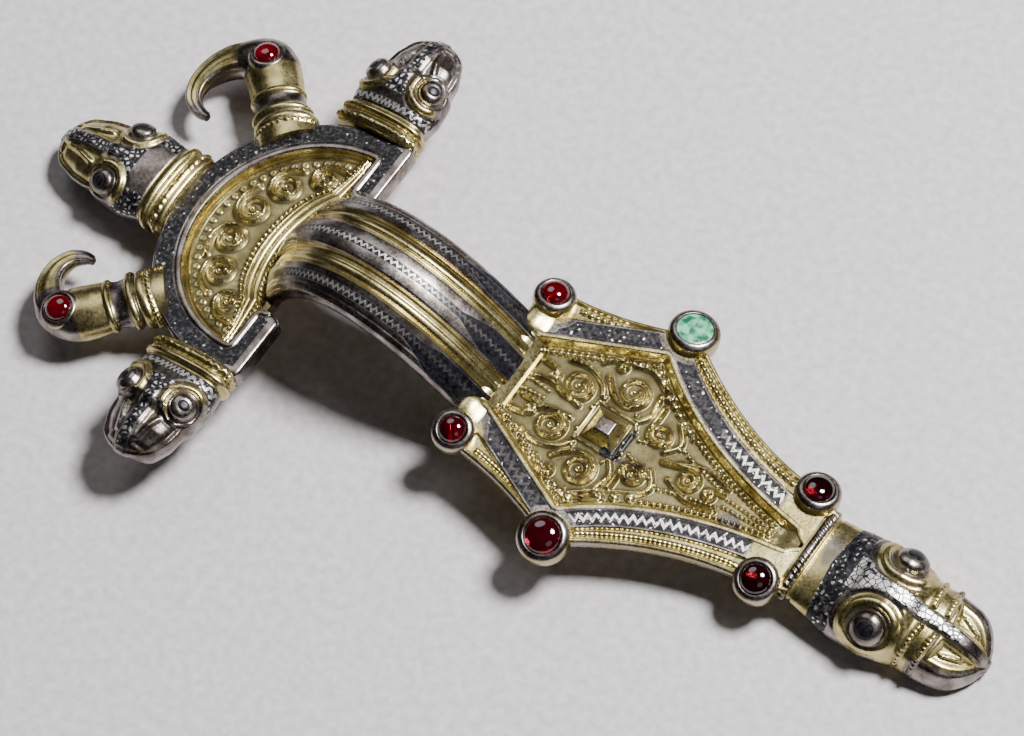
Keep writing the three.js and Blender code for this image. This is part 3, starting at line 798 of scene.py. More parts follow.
@dataclass(frozen=True)
class Bow:
    """The arched bow: three niello bands with gilt grooves between them."""

    root: Pair = (-29.2, -3.4)
    shoulder: Pair = (-25.6, 10.7)
    flank: Pair = (-11.9, 12.0)
    foot: Pair = (1.5, 0.4)
    half_width: float = 6.9
    thickness: float = 1.7
    sag: float = 2.2
    band: float = 1.7
    groove_end: float = 4.0
    groove_depth: float = 0.55
    rib: float = 3.0
    niello_half: float = 0.42
    side_band: float = 5.2
    steps: int = 330
    top_points: int = 130
    low_points: int = 16

    def skin(self) -> Skin:
        """A section across the bow carried along its arch, a cubic between the two plates.

        Returns:
            The bow's skin in the foot frame.
        """
        t = np.linspace(0, 1, self.steps)[:, None]
        a, b, c, d = (np.array(pole) for pole in (self.root, self.shoulder, self.flank, self.foot))
        line = (1 - t) ** 3 * a + 3 * t * (1 - t) ** 2 * b + 3 * t**2 * (1 - t) * c + t**3 * d
        edge, shoulder = self.half_width, self.half_width - 0.7
        out = np.linspace(-edge, edge, self.top_points)
        half = np.abs(out)
        groove = step(half, self.band - 0.1, self.band + 0.2)
        groove *= step(self.groove_end + 0.1 - half, 0, 0.3)
        lift = 0.06 - self.groove_depth * groove * 1.3
        lift += 0.38 * rounded(half - self.rib, 0.5) * groove
        lift += 0.12 * (1 - (half / self.band) ** 2) * (half < self.band)
        lift -= 0.35 * (1 - rounded(shoulder - half, 0.7)) * (half > shoulder)
        lift -= 0.08 * sharp(half - edge + 0.75, 0.14)
        wide = np.concatenate([out, np.linspace(edge - 0.15, 0.15 - edge, self.low_points)])
        height = np.concatenate([lift, np.full(self.low_points, -self.thickness)])
        x, z = beside(line, height - self.sag * (wide / edge) ** 2)
        wide = np.broadcast_to(wide, x.shape)
        half = np.abs(wide)
        centre, outer = self.niello_half - half, self.niello_half - np.abs(half - self.side_band)
        # The silver teeth show best over the middle and are worn or tarnished towards both ends,
        # and at the foot's end each band of niello widens to a dark tongue
        length = lengths(line)[:, None]
        share, left = length / length[-1], length[-1] - length
        shown = (0.3 + 0.7 * step(share, 0.15, 0.32)) * (1 - 0.8 * step(share, 0.6, 0.76))
        dark = least(0.9 * self.band, 0.3 * (10 - left)) - half
        darker = least(1.25, 0.25 * (12.5 - left)) - np.abs(half - 5.5)
        band = most(centre, outer, 0.6 * most(dark, darker))
        band[:, self.top_points:] = -1
        silver = np.where((half > self.band) & (half < self.groove_end), 0.0, 1.0)
        worn = 0.55 * step(half, self.rib + 0.1, self.groove_end) * step(left, 12, 26)
        return tube(
            xyz(x, wide, z), inlay=band, along=1.3 * length,
            across=1.5 * np.where(centre > outer, wide, half - self.side_band),
            silver=most(silver, worn), teeth=shown * np.where(centre > outer, 1.0, 0.6),
            scales=-step(share, 0.6, 0.7),
        )


# Head plate


@dataclass(frozen=True)
class HeadPlate:
    """The half-round head plate: a rim and two bars with niello, round a sunk, carved panel."""

    radius: float = 17.0
    thickness: float = 2.5
    front: float = 3.4
    bar_inner: float = 8.4
    panel_radius: float = 13.7
    panel_depth: float = 1.15
    panel_front: float = 0.2
    wall_slope: float = 0.5
    root_back: float = 2.1
    root_half: float = 7.6
    flank: tuple[Pair, ...] = ((0.0, -0.8), (0.0, -1.5), (0.1, -2.1), (0.35, -2.5))
    steps: tuple[int, ...] = (12, 44, 14, 16, 95)

    def edges(self) -> list[np.ndarray]:
        """Inner and outer edge of the rim and bars, point for point.

        Each runs from the inner end of the left bar round its corner and along half the arc, and
        is then mirrored. Both begin at one blunt point, which rounds the bar's end.

        Returns:
            The inner edge and the outer edge.
        """
        first, straight, corner, flat, half_arc = self.steps
        middle, out = (self.panel_front + self.front) / 2, self.bar_inner
        edges = []
        for start, x, rim, soft, rest in (
            (middle - 0.2, self.panel_front, self.panel_radius, 0.3, 0),
            (middle + 0.2, self.front, self.radius, 1, flat),
        ):
            half = np.concatenate([
                bend((start, out), (x, out), (x, out + 1), first),
                run((x, out + 1), (x, rim - soft), straight),
                bend((x, rim - soft), (x, rim), (x - soft, rim), corner),
                run((x - soft, rim), (0, rim), rest),
                arc((0, 0), rim, 90, 180, half_arc + flat - rest),
            ])
            edges.append(np.concatenate([half, half[::-1] * (1, -1)]))
        return edges

    def rim(self) -> Skin:
        """The rim and both bars: a section ruled from the panel's wall out to the edge.

        Returns:
            The rim's skin in the head frame.
        """
        inner, outer = self.edges()
        width = np.linalg.norm(outer - inner, axis=1, keepdims=True)
        x, y, across = ruled(inner, outer, self.wall_slope * np.minimum(1, width / 3), 40)
        from_panel, from_edge = (distance_to(edge[::3], x, y)[0] for edge in (inner, outer))
        on_bar = step(x, 0.6, 1.8)
        z = 0.06 * rounded(from_panel - 0.3, 0.32) - 0.12 * sharp(from_panel - 0.72, 0.14)
        z -= 0.35 * (1 - rounded(np.clip(1 - from_edge / (0.4 + 0.3 * on_bar), 0, 1), 1.0))
        top = xyz(x, y, walled(z, across, self.wall_slope, self.panel_depth))
        band = least(from_panel - 0.85, from_edge - 0.35 - 0.65 * on_bar)
        silver = np.where((from_panel < 0.6) & (on_bar < 0.5), 0.7, 1.0) * (across > -0.1)
        return covered(
            top, hidden_side(top, self.flank, (0.4, 0.7, 1.0)),
            inlay=(np.where(across < 0, -1.0, band), -1.0), silver=(silver, 0.7),
        )

    def root_path(self) -> np.ndarray:
        """The front edge of the panel: straight along both bars and arched back round the bow."""
        depth = self.root_back + self.panel_front
        radius = (self.root_half**2 + depth**2) / (2 * depth)
        spread = np.degrees(np.arcsin(self.root_half / radius))
        bow = arc((radius - self.root_back, 0), radius, 180 - spread, 180 + spread, 30)
        end = (self.panel_front, -self.panel_radius - 1)
        start = run((end[0], -end[1]), tuple(bow[0]), 8)
        return np.concatenate([start, bow, np.array([bow[-1], end])])

    def panel(self) -> Skin:
        """The floor of the sunk panel: rays and circles round the plate's middle, with carving.

        Along the front run a twisted wire, three fine ribs and a beaded line, which draw together
        towards the corners. Six spirals and a row of ring punches fill the rest.

        Returns:
            The panel's skin in the head frame.
        """
        reach = np.linspace(1.6, self.panel_radius + 0.1, 118)
        spread = np.pi / 2 + np.arcsin(np.minimum(1, 0.7 / reach))
        turn = np.pi + np.linspace(-1, 1, 390)[:, None] * spread
        x, y = reach * np.cos(turn), reach * np.sin(turn)
        path = self.root_path()
        gap, along = distance_to(path, x, y)
        front = np.interp(y, path[::-1, 1], path[::-1, 0])
        line = np.where(x < front, gap, 0) / (1 - 0.5 * step(np.abs(y), 5, 12.5))
        ribs = ((1.3, 0.55, 0.44), (2.2, 0.5, 0.42), (2.83, 0.3, 0.18))
        carving = most(
            0.55 * rope(line - 0.45, along, 0.62, 0.42),
            0.4 * beads(line - 3.35, along, 0.55, 0.26),
            *(rise * rounded(line - place, half) for place, rise, half in ribs),
            0.14 * punched(reach - 12.2, turn * 12.2, 1.25, 0.27), 0.4 * sharp(reach - 12.95, 0.2),
        )
        for angle, out, radius in ((14, 9.1, 1.85), (41, 9.6, 1.8), (67, 10.0, 1.4)):
            sine, cosine = np.sin(np.radians(angle)), np.cos(np.radians(angle))
            ahead = np.radians(angle + 15)
            tip = (-11.2 * np.cos(ahead), 11.2 * np.sin(ahead))
            scroll = Scroll((-out * cosine, out * sine), radius, 205 - angle, -1, tip, line=0.33)
            carving = most(carving, 0.7 * scroll.height(x, np.abs(y)) * step(line, 3.4, 3.7))
        top = xyz(x, y, carving - self.panel_depth)
        # The floor between the carving gets extra hollow: painted shade, darker than the crests
        return covered(
            top, top[:, ::-20] * (1, 1, 0) - (0, 0, self.thickness), reach=10,
            hollow=(0.12 * (1 - np.clip(carving / 0.3, 0, 1)), 0.0), silver=(0.1 + 0 * x, 0.5),
        )


# Animal heads


@dataclass(frozen=True)
class AnimalHead:
    """An animal's head in relief, from its collar to its snout, along +X of its own frame.

    Each row gives a share of the length, of the half-width, of the rise and of the drop.
    """

    rows: tuple[tuple[float, float, float, float], ...]
    length: float
    half_width: float
    rise: float
    drop: float
    middle_drop: float
    start_drop: float
    eye_radius: float
    eye_along: float
    eye_out: float
    eye_lift: float
    sides: int = 176
    steps: int = 150

    def eye(self) -> np.ndarray:
        """Middle of the left eye, on the flank of the head."""
        up = np.sqrt(1 - self.eye_out**2) * self.rise - self.middle_drop + self.eye_lift
        return np.array([self.eye_along * self.length, self.eye_out * self.half_width, up])

    def base(self) -> np.ndarray:
        """The plain head: superellipse rings whose size follows the rows along the length.

        Returns:
            Array of rings by points, smoothed where one row passes into the next.
        """
        table, u = np.array(self.rows).T, np.linspace(0, 1, self.steps)
        wide, high, low = (np.interp(u, table[0], share)[:, None] for share in table[1:])
        nose = np.sqrt(np.clip(1 - ((u - 0.88) / 0.12).clip(0, 1) ** 2, 0.001, 1))[:, None]
        across, up = np.sin(turns(self.sides)), np.cos(turns(self.sides))
        settle = np.minimum(1, u / 0.3)[:, None]
        middle = -self.start_drop - (self.middle_drop - self.start_drop) * settle
        full = np.sign(across) * np.abs(across) ** 0.85 * self.half_width
        over = np.maximum(up, 0) ** 0.85 * self.rise * high
        under = -self.drop * low * np.minimum(1, np.maximum(-up, 0) * 1.4)
        rings = xyz(u[:, None] * self.length, full * wide * nose, middle + (over + under) * nose)
        smooth = softened(rings, 3)
        smooth[[0, -1]] = rings[[0, -1]]
        return smooth

    def eyes(self, points: np.ndarray) -> tuple[np.ndarray, np.ndarray, np.ndarray]:
        """Relief of both eyes: a dome with a flat pupil, a trough, and a brow towards the crown.

        Args:
            points: Points of the head.

        Returns:
            Height to add, the distance from the nearer eye as a share of its radius, and how much
            of the brow there is.
        """
        x, y, z = np.moveaxis(points, -1, 0)
        middle, radius = self.eye(), self.eye_radius
        ahead, out, up = x - middle[0], np.abs(y) - middle[1], z - middle[2]
        share = np.sqrt(ahead**2 + out**2 + up**2) / radius
        brow = step((up * 0.75 - out * 0.5 - ahead * 0.55) / radius, -0.7, 0.4)
        relief = 0.5 * radius * np.minimum(rounded(np.minimum(share, 1), 1.0), 0.975)
        relief -= 0.05 * sharp(share - 0.42, 0.12)
        relief -= 0.14 * radius * rounded(share - 1.14, 0.2)
        relief += 0.18 * radius * rounded(share - 1.52, 0.28) * (0.15 + 0.85 * brow)
        relief -= 0.07 * rounded(share - 2.02, 0.14) * brow
        return relief, share, brow


@dataclass(frozen=True)
class KnobHead(AnimalHead):
    """One of the three heads round the head plate.

    neck_half is half the width of the toothed band on the neck, which is left out below 0, and
    bared the share of the snout's hollows that has lost its gilding.
    """

    half_width: float = 5.5
    rise: float = 3.2
    drop: float = 2.8
    middle_drop: float = 0.8
    start_drop: float = 0.8
    eye_radius: float = 1.5
    eye_along: float = 0.49
    eye_out: float = 0.69
    eye_lift: float = -0.2
    neck_half: float = 0.42
    bared: float = 0.7

    def skin(self) -> Skin:
        """The head with a punched collar, a nielloed neck and crest, and hollows in the snout.

        Returns:
            The head's skin in its own frame.
        """
        rings = self.base()
        x, y, z = np.moveaxis(rings, -1, 0)
        half, u, above = np.abs(y), x / self.length, z + self.middle_drop
        upper = step(above, -0.6, 0.4)
        girth = np.arctan2(y, above) * 4.6
        relief, eye, brow = self.eyes(rings)
        relief += 0.2 * punched(x - 0.065 * self.length, girth, 0.8, 0.27)
        relief += 0.2 * rounded(x - 0.14 * self.length, 0.36) + 0.1 * rounded(x - 0.3, 0.3)
        relief -= 0.12 * sharp(x - 0.19 * self.length, 0.2)
        crest = 0.6 + 1.5 * step(0.5 - u, 0, 0.12) + 0.15 * step(u, 0.85, 0.95)
        relief += 0.16 * step(crest + 0.15 - half, 0, 0.25) * step(u, 0.36, 0.44) * upper
        # The hollow of the snout lies between crest, eye and lip, with a drop left standing in it
        hollow = np.where(u > 0.55, least(
            half - crest - 0.25, (above - 0.55) * 1.3, (eye - 1.3) * self.eye_radius,
            (0.95 - u) * self.length,
        ), -1.0)
        tear = np.array([(0.67, 2.3), (0.78, 1.7), (0.87, 1.35)]) * (self.length, 1)
        relief -= 0.34 * step(hollow, 0, 0.45) * upper
        relief += 0.34 * sharp(distance_to(tear, x, half)[0], 0.5) * step(hollow, 0, 0.3) * upper
        relief += 0.2 * rounded(above - 0.2, 0.5) * step(u, 0.6, 0.68)
        ring = x - 0.245 * self.length
        neck = least(self.neck_half - np.abs(ring), (eye - 2.1) * self.eye_radius)
        saddle = least(
            crest - half, (u - 0.35) * self.length, (0.97 - u) * self.length,
            (eye - 2.0) * self.eye_radius,
        )
        flank = least(
            half - 3.2, (u - 0.2) * self.length, (0.46 - u) * self.length,
            (eye - 1.95) * self.eye_radius,
        )
        band = most(neck, flank, saddle, (0.42 - eye) * self.eye_radius)
        gilt_brow = step(eye, 1.1, 1.25) * step(2.0 - eye, 0, 0.1) * (0.25 + 0.75 * brow)
        silver = layered(
            least(np.where(u < 0.2, 0.1, 0.85), 1 - 0.9 * gilt_brow), (hollow > 0.05, self.bared),
            (eye < 1.05, 0.7),
        )
        return carved(
            rings, relief, inlay=np.where(above < 0, -1.0, band), silver=silver, along=girth,
            across=ring, teeth=1.0 * (neck > 0), scales=np.where(eye < 1, -1.0, 0.5 * (neck < 0)),
        )


@dataclass(frozen=True)
class FootHead(AnimalHead):
    """The large head at the foot's end."""

    length: float = 22.55
    half_width: float = 6.3
    rise: float = 5.0
    drop: float = 1.25
    middle_drop: float = 2.3
    start_drop: float = 1.0
    eye_radius: float = 1.9
    eye_along: float = 0.47
    eye_out: float = 0.73
    eye_lift: float = 0.2
    sides: int = 230
    steps: int = 210

    def skin(self) -> Skin:
        """The head with a rope collar, a gilt band, a scaled crest, ringed eyes and beaded bars.

        Returns:
            The head's skin in its own frame.
        """
        rings = self.base()
        x, y, z = np.moveaxis(rings, -1, 0)
        half, above = np.abs(y), z + self.middle_drop
        upper = step(above, -0.4, 0.5)
        relief, eye, brow = self.eyes(rings)
        girth = np.arctan2(y, above + 2.0) * 6.2
        relief += 0.07 * rounded(eye - 2.22, 0.12) * brow
        relief += 0.3 * rope(x - 0.85, girth, 0.72, 0.48) * upper
        relief -= 0.15 * rounded(x - 1.6, 0.25) * upper
        crest = 1.0 + 1.2 * step(9.0 - x, 0, 2.5) - 0.25 * step(x, 8, 20)
        relief += 0.3 * step(crest + 0.1 - half, 0, 0.3) * step(x, 6.0, 8.5) * upper
        beside_crest = step(half, crest + 0.1, crest + 0.4) * step(above, 0.3, 1.2) * upper
        for bar in (15.2, 17.0):
            off = x - bar + 0.12 * half
            relief += 0.26 * beads(off, girth, 0.5, 0.3) * beside_crest
            relief += 0.14 * rounded(off, 0.42) * beside_crest
        # A hollow on each side of the crest is the nostril, with a narrow drop in it
        inward = half.max(axis=1, keepdims=True) - half
        pit = least(half - crest - 0.15, (inward - 1.2) * 0.8, above, x - 17.7 + 0.12 * half)
        tear = np.array([(18.5, 2.6), (19.5, 2.2), (20.4, 1.8)])
        relief -= 0.55 * step(pit, 0, 0.7) * upper
        relief += 0.35 * sharp(distance_to(tear, x, half)[0], 0.4) * step(pit, 0, 0.3) * upper
        lip = step(above, -1.7, -0.3) * step(1.2 - inward, 0, 0.6) * step(x, 14.5, 17.5)
        relief += 0.22 * lip
        chevron = least(
            x - 3.5 - 0.1 * half, 6.6 - x + 0.55 * (2.2 - half).clip(0, 2),
            (eye - 2.35) * self.eye_radius,
        )
        spine = least(crest - 0.05 - half, x - 6.0, 19.2 - x)
        band = most(chevron, spine, (0.45 - eye) * self.eye_radius)
        worn = step(2.2 - np.hypot((x - 2.9) * 1.6, (y - 1.4) * 0.6), 0, 1.2)
        silver = np.where(x < 3.5 + 0.1 * half, 0.08 + 0.5 * worn, 0.75)
        silver = np.where(np.abs(x - 0.85) < 0.55, 0.7, silver)
        silver = layered(
            least(silver, 1 - 0.95 * step(eye, 1.15, 1.3) * step(2.05 - eye, 0, 0.1)),
            ((x > 12.6) & (half > crest), 0.08), (lip > 0.3, 0.9),
            ((pit < -0.1) & (x > 18.2) | (half < crest) & (x > 8), 0.95), (eye < 1.08, 0.8),
        )
        scales = layered(0.3, (spine > 0, 1.0 - 0.25 * step(x, 14, 18)), (eye < 1, -1.0))
        return carved(
            rings, relief, inlay=np.where(above < -0.3, -1.0, band), silver=silver, scales=scales,
        )


# Birds' heads


@dataclass(frozen=True)
class BirdHead:
    """A hooked bird's head on a ringed neck, swept along a curve in the head frame."""

    plate_radius: float
    beak_share: float = 1.0
    neck_half: float = 3.2
    head_half: float = 2.9
    half_height: float = 2.3
    middle_drop: float = 1.2
    rows: tuple[Pair, ...] = (
        (1.15, 1), (1.15, 1.05), (1, 0.95), (1.05, 1), (0.96, 0.95), (0.98, 0.95), (1.02, 1),
        (1.05, 1), (1, 1), (0.86, 0.95), (0.7, 0.85), (0.6, 0.78), (0.52, 0.7), (0.44, 0.6),
        (0.38, 0.5), (0.32, 0.42), (0.26, 0.32), (0.15, 0.2),
    )
    steps: int = 230
    sides: int = 96

    def eye(self) -> Pair:
        """Middle of the eye's setting in the head frame."""
        return -self.plate_radius - 2.4, self.plate_radius + 2.3

    def curve(self, count: int) -> np.ndarray:
        """The line from the neck in the rim round the crown to the tip of the beak.

        Args:
            count: How many points it is given.

        Returns:
            Points in the head frame. A worn beak keeps only a share of its reach.
        """
        neck = [(8.9, -8.0), (4.7, -4.3), (1.7, -1.4), (-0.6, 0.0)]
        beak = [(-3.1, -0.9), (-5.0, -3.1), (-5.7, -5.8), (-5.0, -8.0), (-3.4, -9.1), (-2.0, -9.3)]
        eye = self.eye()
        shape = neck + [(x * self.beak_share, y * self.beak_share) for x, y in beak]
        return through([(x + eye[0], y + eye[1]) for x, y in shape], count)

    def skin(self) -> Skin:
        """Elliptic rings swept along the curve, with collars and fine rings round the neck.

        Returns:
            The bird's skin in the head frame, on the left side.
        """
        share = np.linspace(0, 1, self.steps)
        table, at = np.array(self.rows).T, np.linspace(0, 1, len(self.rows))
        full = np.where(at < 0.5, self.neck_half, self.head_half) * table[0]
        wide = np.interp(share, at, full)[:, None]
        high = np.interp(share, at, table[1] * self.half_height)[:, None]
        out, up = np.sin(turns(self.sides)), np.cos(turns(self.sides))
        x, y = beside(self.curve(self.steps), out * wide)
        height = np.sign(up) * np.abs(up) ** 0.9 * high - self.middle_drop
        rings = softened(xyz(x, y, height), 4)
        x, y = rings[..., 0], rings[..., 1]
        reach, from_eye = np.hypot(x, y), np.hypot(x - self.eye()[0], y - self.eye()[1])
        share, out = share[:, None], np.abs(out)
        on_neck = (share < 0.45) & (reach < 26)
        girth = turns(self.sides) * self.neck_half
        relief = 0.24 * beads(reach - 17.35, girth, 0.62, 0.3) + 0.3 * rounded(reach - 18.25, 0.55)
        relief += 0.26 * rounded(reach - 19.5, 0.42) - 0.1 * rounded(reach - 18.95, 0.2)
        relief += 0.16 * rounded(reach - 22.1, 0.3) - 0.25 * rounded(reach - 20.9, 0.9)
        # A ridge follows the beak's outer edge, with a shallow hollow beside it
        on_beak = step(share, 0.55, 0.62) * (up > 0)
        ridge = 0.2 * rounded(out - 0.72, 0.16) - 0.12 * step(0.55 - out, 0, 0.2)
        dots = 0.24 - np.hypot(reach - 20.6, slip(girth, 1.5))
        silver = layered(
            0.6, (on_neck, 0.08), (on_neck & (reach > 19.9) & (reach < 21.6), 0.9),
            (on_neck & (reach > 18.75) & (reach < 19.1), 0.8),
            ((on_beak > 0.5) & (out < 0.6), 0.12), ((from_eye < 3.4) & ~on_neck, 0.8),
        )
        return carved(
            rings, relief * on_neck + ridge * on_beak,
            inlay=np.where(on_neck & (up > 0), dots, -1.0),
            silver=most(silver, step(share, 0.88, 0.94)),
        )


# Stones and settings


@dataclass(frozen=True)
class Setting:
    """A turned cup that leans outwards and holds one stone."""

    node: str
    frame: Frame
    place: Pair
    stone: float
    cup: float
    base: float
    dome: float = 0.95
    rise: float = 0.9
    lean: float = 12.0
    depth: float = 0.9

    def leant(self, skin: Skin) -> Skin:
        """The skin tipped outwards about X by the lean and moved to its place in the object.

        Args:
            skin: The skin about its own axis.

        Returns:
            The skin in the object.
        """
        angle = np.radians(-np.sign(self.place[1]) * self.lean)
        cosine, sine = np.cos(angle), np.sin(angle)
        x, y, z = skin.points.T
        points = xyz(
            x + self.place[0], y * cosine - z * sine + self.place[1], y * sine + z * cosine,
        )
        return replace(skin, points=points).placed(self.frame)

    def cup_skin(self) -> Skin:
        """The cup: a waisted wall, a shoulder, and a thin raised rim pressed against the stone.

        Returns:
            The cup's skin in the object, down to the foil under the stone.
        """
        cup, inner, top = self.cup, self.stone + 0.03, self.rise
        knots = np.array([
            (0.01, -self.base), (cup * 0.8, -self.base), (cup * 0.94, -self.base * 0.75),
            (cup, -self.base * 0.4), (cup, 0.1), (cup * 0.99, top * 0.35), (cup * 0.965, top * 0.6),
            (cup * 0.925, top * 0.8), (cup * 0.87, top * 0.95), (inner + 0.36, top + 0.04),
            (inner + 0.2, top + 0.1), (inner + 0.07, top + 0.1), (inner, top + 0.02),
            (inner, top - 0.2), (inner, -self.depth + 0.2), (0.01, -self.depth + 0.2),
        ])
        at = np.arange(len(knots))
        fine = np.linspace(0, len(knots) - 1, 3 * len(knots) - 2)
        profile = np.stack([np.interp(fine, at, knots[:, i]) for i in range(2)], -1)
        silver = np.where(profile[:, 1] > top * 0.7, 0.72, 0.42)
        silver = np.where(fine > 12.5, 0.0, silver)
        # The foil under the stone counts as hollow and takes the same dark brown
        return self.leant(turned_profile(profile, 72, silver=silver, hollow=0.11 * (fine > 12.5)))

    def stone_skin(self) -> Skin:
        """The stone: a short girdle in the cup under a dome whose section is a half ellipse.

        Returns:
            The stone's skin in the object.
        """
        low, girdle = -self.depth + 0.3, self.rise - 0.05
        turn = np.linspace(0, np.pi / 2, 22)
        dome = np.stack([self.stone * np.cos(turn), girdle + self.dome * np.sin(turn)], -1)
        dome[-1, 0] = 0.01
        wide = self.stone
        foot = np.array([(0.01, low), (wide * 0.6, low), (wide - 0.1, low), (wide, low + 0.12)])
        return self.leant(turned_profile(np.concatenate([foot, dome]), 56))


def all_settings(foot: FootPlate, birds: dict[Side, BirdHead]) -> list[Setting]:
    """The eight settings, each with the node of its stone.

    Args:
        foot: The foot plate, which places six of them.
        birds: The birds' heads, whose eyes are the other two.

    Returns:
        Settings on both sides.
    """
    made = []
    for side in Side:
        side_stone, side_dome = "garnet_side", 0.95
        if side is Side.LEFT:
            side_stone, side_dome = "green_stone_side", 0.22
        bird = birds[side]
        for name, frame, place, stone, cup, base, dome in (
            ("garnet_bow", FOOT_FRAME, foot.bow_stone, 1.55, 2.4, foot.thickness, 0.95),
            (side_stone, FOOT_FRAME, foot.side_stone, 2.0, 2.9, foot.thickness, side_dome),
            ("garnet_end", FOOT_FRAME, foot.end_stone, 1.7, 2.55, foot.thickness, 0.95),
            ("garnet_bird_eye", HEAD_FRAME, bird.eye(), 1.55, 2.35, bird.half_height, 0.95),
        ):
            place = (place[0], side.value * place[1])
            name = f"{name}_{side.name.lower()}"
            made.append(Setting(name, frame, place, stone, cup, base, dome))
    return made


# Back


@dataclass(frozen=True)
class Back:
    """The plain hidden side: two pierced spring lugs under the head, the catch under the foot."""

    lug_middle: float = -30.8
    lug_out: float = 5.5
    lug_length: float = 5.6
    lug_thickness: float = 1.8
    lug_top: float = 6.1
    hole: float = 0.8
    catch_start: float = 23.0
    catch_length: float = 9.0
    catch_top: float = -1.6
    catch_low: float = -4.5
    catch_hook: float = 2.6
    catch_lip: float = 1.5
    catch_thickness: float = 0.9
    bared: float = 0.6

    def lug(self, side: Side) -> Skin:
        """A lug: a ring-shaped plate, ruled from its hole out to a rounded tongue.

        Args:
            side: Which of the two.

        Returns:
            The lug's skin in the object, where its foot is flat on the ground.
        """
        ahead, up = np.cos(turns(72)), np.sin(turns(72))
        radius = self.lug_length / 2
        eye = radius * 0.85
        reach = least(
            radius / np.maximum(np.abs(ahead), TINY), eye / np.maximum(-up, TINY),
            (self.lug_top - eye) / np.maximum(up, TINY),
            np.where(up < 0, np.hypot(radius, eye) * 0.86, np.inf),
        )
        half, soft = self.lug_thickness / 2, 0.2
        places = ((self.hole, half), (reach - soft, half), (reach, half - soft),
                  (reach, soft - half), (reach - soft, -half), (self.hole, -half))
        rings = np.stack([
            xyz(self.lug_middle + ahead * out, side.value * self.lug_out + y, eye + up * out)
            for out, y in places
        ], 1)
        return tube(rings, looped=True, reach=0, silver=self.bared)

    def catch(self) -> Skin:
        """The catch: a strip bent into a J, a rectangle carried down, across and up again.

        Returns:
            The catch's skin in the foot frame.
        """
        half, soft, turn = self.catch_thickness / 2, 0.15, 0.6
        low, hook = self.catch_low + half, self.catch_hook - half
        path = np.concatenate([
            run((half, self.catch_top), (half, low + turn), 8),
            bend((half, low + turn), (half, low), (half + turn, low), 8),
            bend((hook - turn, low), (hook, low), (hook, low + turn), 8),
            run((hook, low + turn), (hook, self.catch_low + self.catch_lip), 4),
        ])
        start, end = self.catch_start, self.catch_start + self.catch_length
        places = ((start + soft, half), (end - soft, half), (end, half - soft), (end, soft - half),
                  (end - soft, -half), (start + soft, -half), (start, soft - half),
                  (start, half - soft))
        rings = []
        for along, out in places:
            y, z = beside(path, np.array([out]))
            rings.append(xyz(along, y[:, 0], z[:, 0]))
        return tube(np.stack(rings, 1), reach=0, silver=self.bared)


# Finishes


def linear(code: str) -> tuple[float, float, float, float]:
    """A hex colour, as seen on a screen, turned to linear light."""
    shares = [int(code[i:i + 2], 16) / 255 for i in (1, 3, 5)]
    light = [s / 12.92 if s <= 0.04045 else ((s + 0.055) / 1.055) ** 2.4 for s in shares]
    return (*light, 1.0)


def per_mm(size: float) -> float:
    """Pattern scale, in repeats a metre, for a feature of that size in millimetres."""
    return 1 / (size * METRES)


def fill(tree: bpy.types.NodeTree, made: bpy.types.Node, given: dict) -> None:
    """Gives a node its inputs, by name or number: values, or links from other nodes.

    Args:
        tree: The node tree.
        made: The node.
        given: Values, signals or output sockets.
    """
    for key, value in given.items():
        value = value.socket if isinstance(value, Signal) else value
        if isinstance(value, bpy.types.NodeSocket):
            tree.links.new(value, made.inputs[key])
        else:
            made.inputs[key].default_value = value


def node(
    tree: bpy.types.NodeTree, kind: str, given: dict | None = None, **settings: object,
) -> bpy.types.Node:
    """Adds a node with its settings, values and links.

    Args:
        tree: The node tree.
        kind: Blender's name of the node type.
        given: Values, signals or other nodes' output sockets, by input name or number.
        **settings: Properties of the node.

    Returns:
        The new node.
    """
    made = tree.nodes.new(kind)
    for name, value in settings.items():
        setattr(made, name, value)
    fill(tree, made, given or {})
    return made


@dataclass(frozen=True)
class Signal:
    """A number in a material. Each sum with it adds the node that works the sum out."""

    tree: bpy.types.NodeTree
    socket: bpy.types.NodeSocket

    def math(self, kind: str, second: object = 0.0) -> Signal:
        """This number and a second one put together by one kind of Math node."""
        made = node(self.tree, "ShaderNodeMath", {0: self, 1: second}, operation=kind)
        return Signal(self.tree, made.outputs[0])

    def __add__(self, second: object) -> Signal:
        """This number and a second one together."""
        return self.math("ADD", second)

    def __sub__(self, second: object) -> Signal:
        """This number less a second one."""
        return self.math("SUBTRACT", second)

    def __mul__(self, second: object) -> Signal:
        """This number times a second one."""
        return self.math("MULTIPLY", second)

    def rest(self) -> Signal:
        """What this number leaves of one."""
        return self * -1.0 + 1.0

    def rise(self, low: float, high: float, shape: str = "SMOOTHSTEP") -> Signal:
        """A rise from 0 to 1 as this number goes from low to high."""
        given = {"Value": self, "From Min": low, "From Max": high}
        made = node(self.tree, "ShaderNodeMapRange", given, interpolation_type=shape)
        return Signal(self.tree, made.outputs[0])

    def blend(self, first: object, second: object) -> bpy.types.NodeSocket:
        """One colour, given as a hex code, as linear light or as a socket, passing into another."""
        shades = [linear(shade) if isinstance(shade, str) else shade for shade in (first, second)]
        given = {0: self, 6: shades[0], 7: shades[1]}
        return node(self.tree, "ShaderNodeMix", given, data_type="RGBA").outputs[2]


def place(tree: bpy.types.NodeTree) -> bpy.types.NodeSocket:
    """The place of the shaded point in the object."""
    return node(tree, "ShaderNodeTexCoord").outputs["Object"]


def clouds(
    tree: bpy.types.NodeTree, size: float, detail: float, roughness: float = 0.5,
) -> Signal:
    """Soft noise with features of that size in millimetres."""
    given = {"Vector": place(tree), "Scale": per_mm(size), "Detail": detail, "Roughness": roughness}
    return Signal(tree, node(tree, "ShaderNodeTexNoise", given).outputs[0])


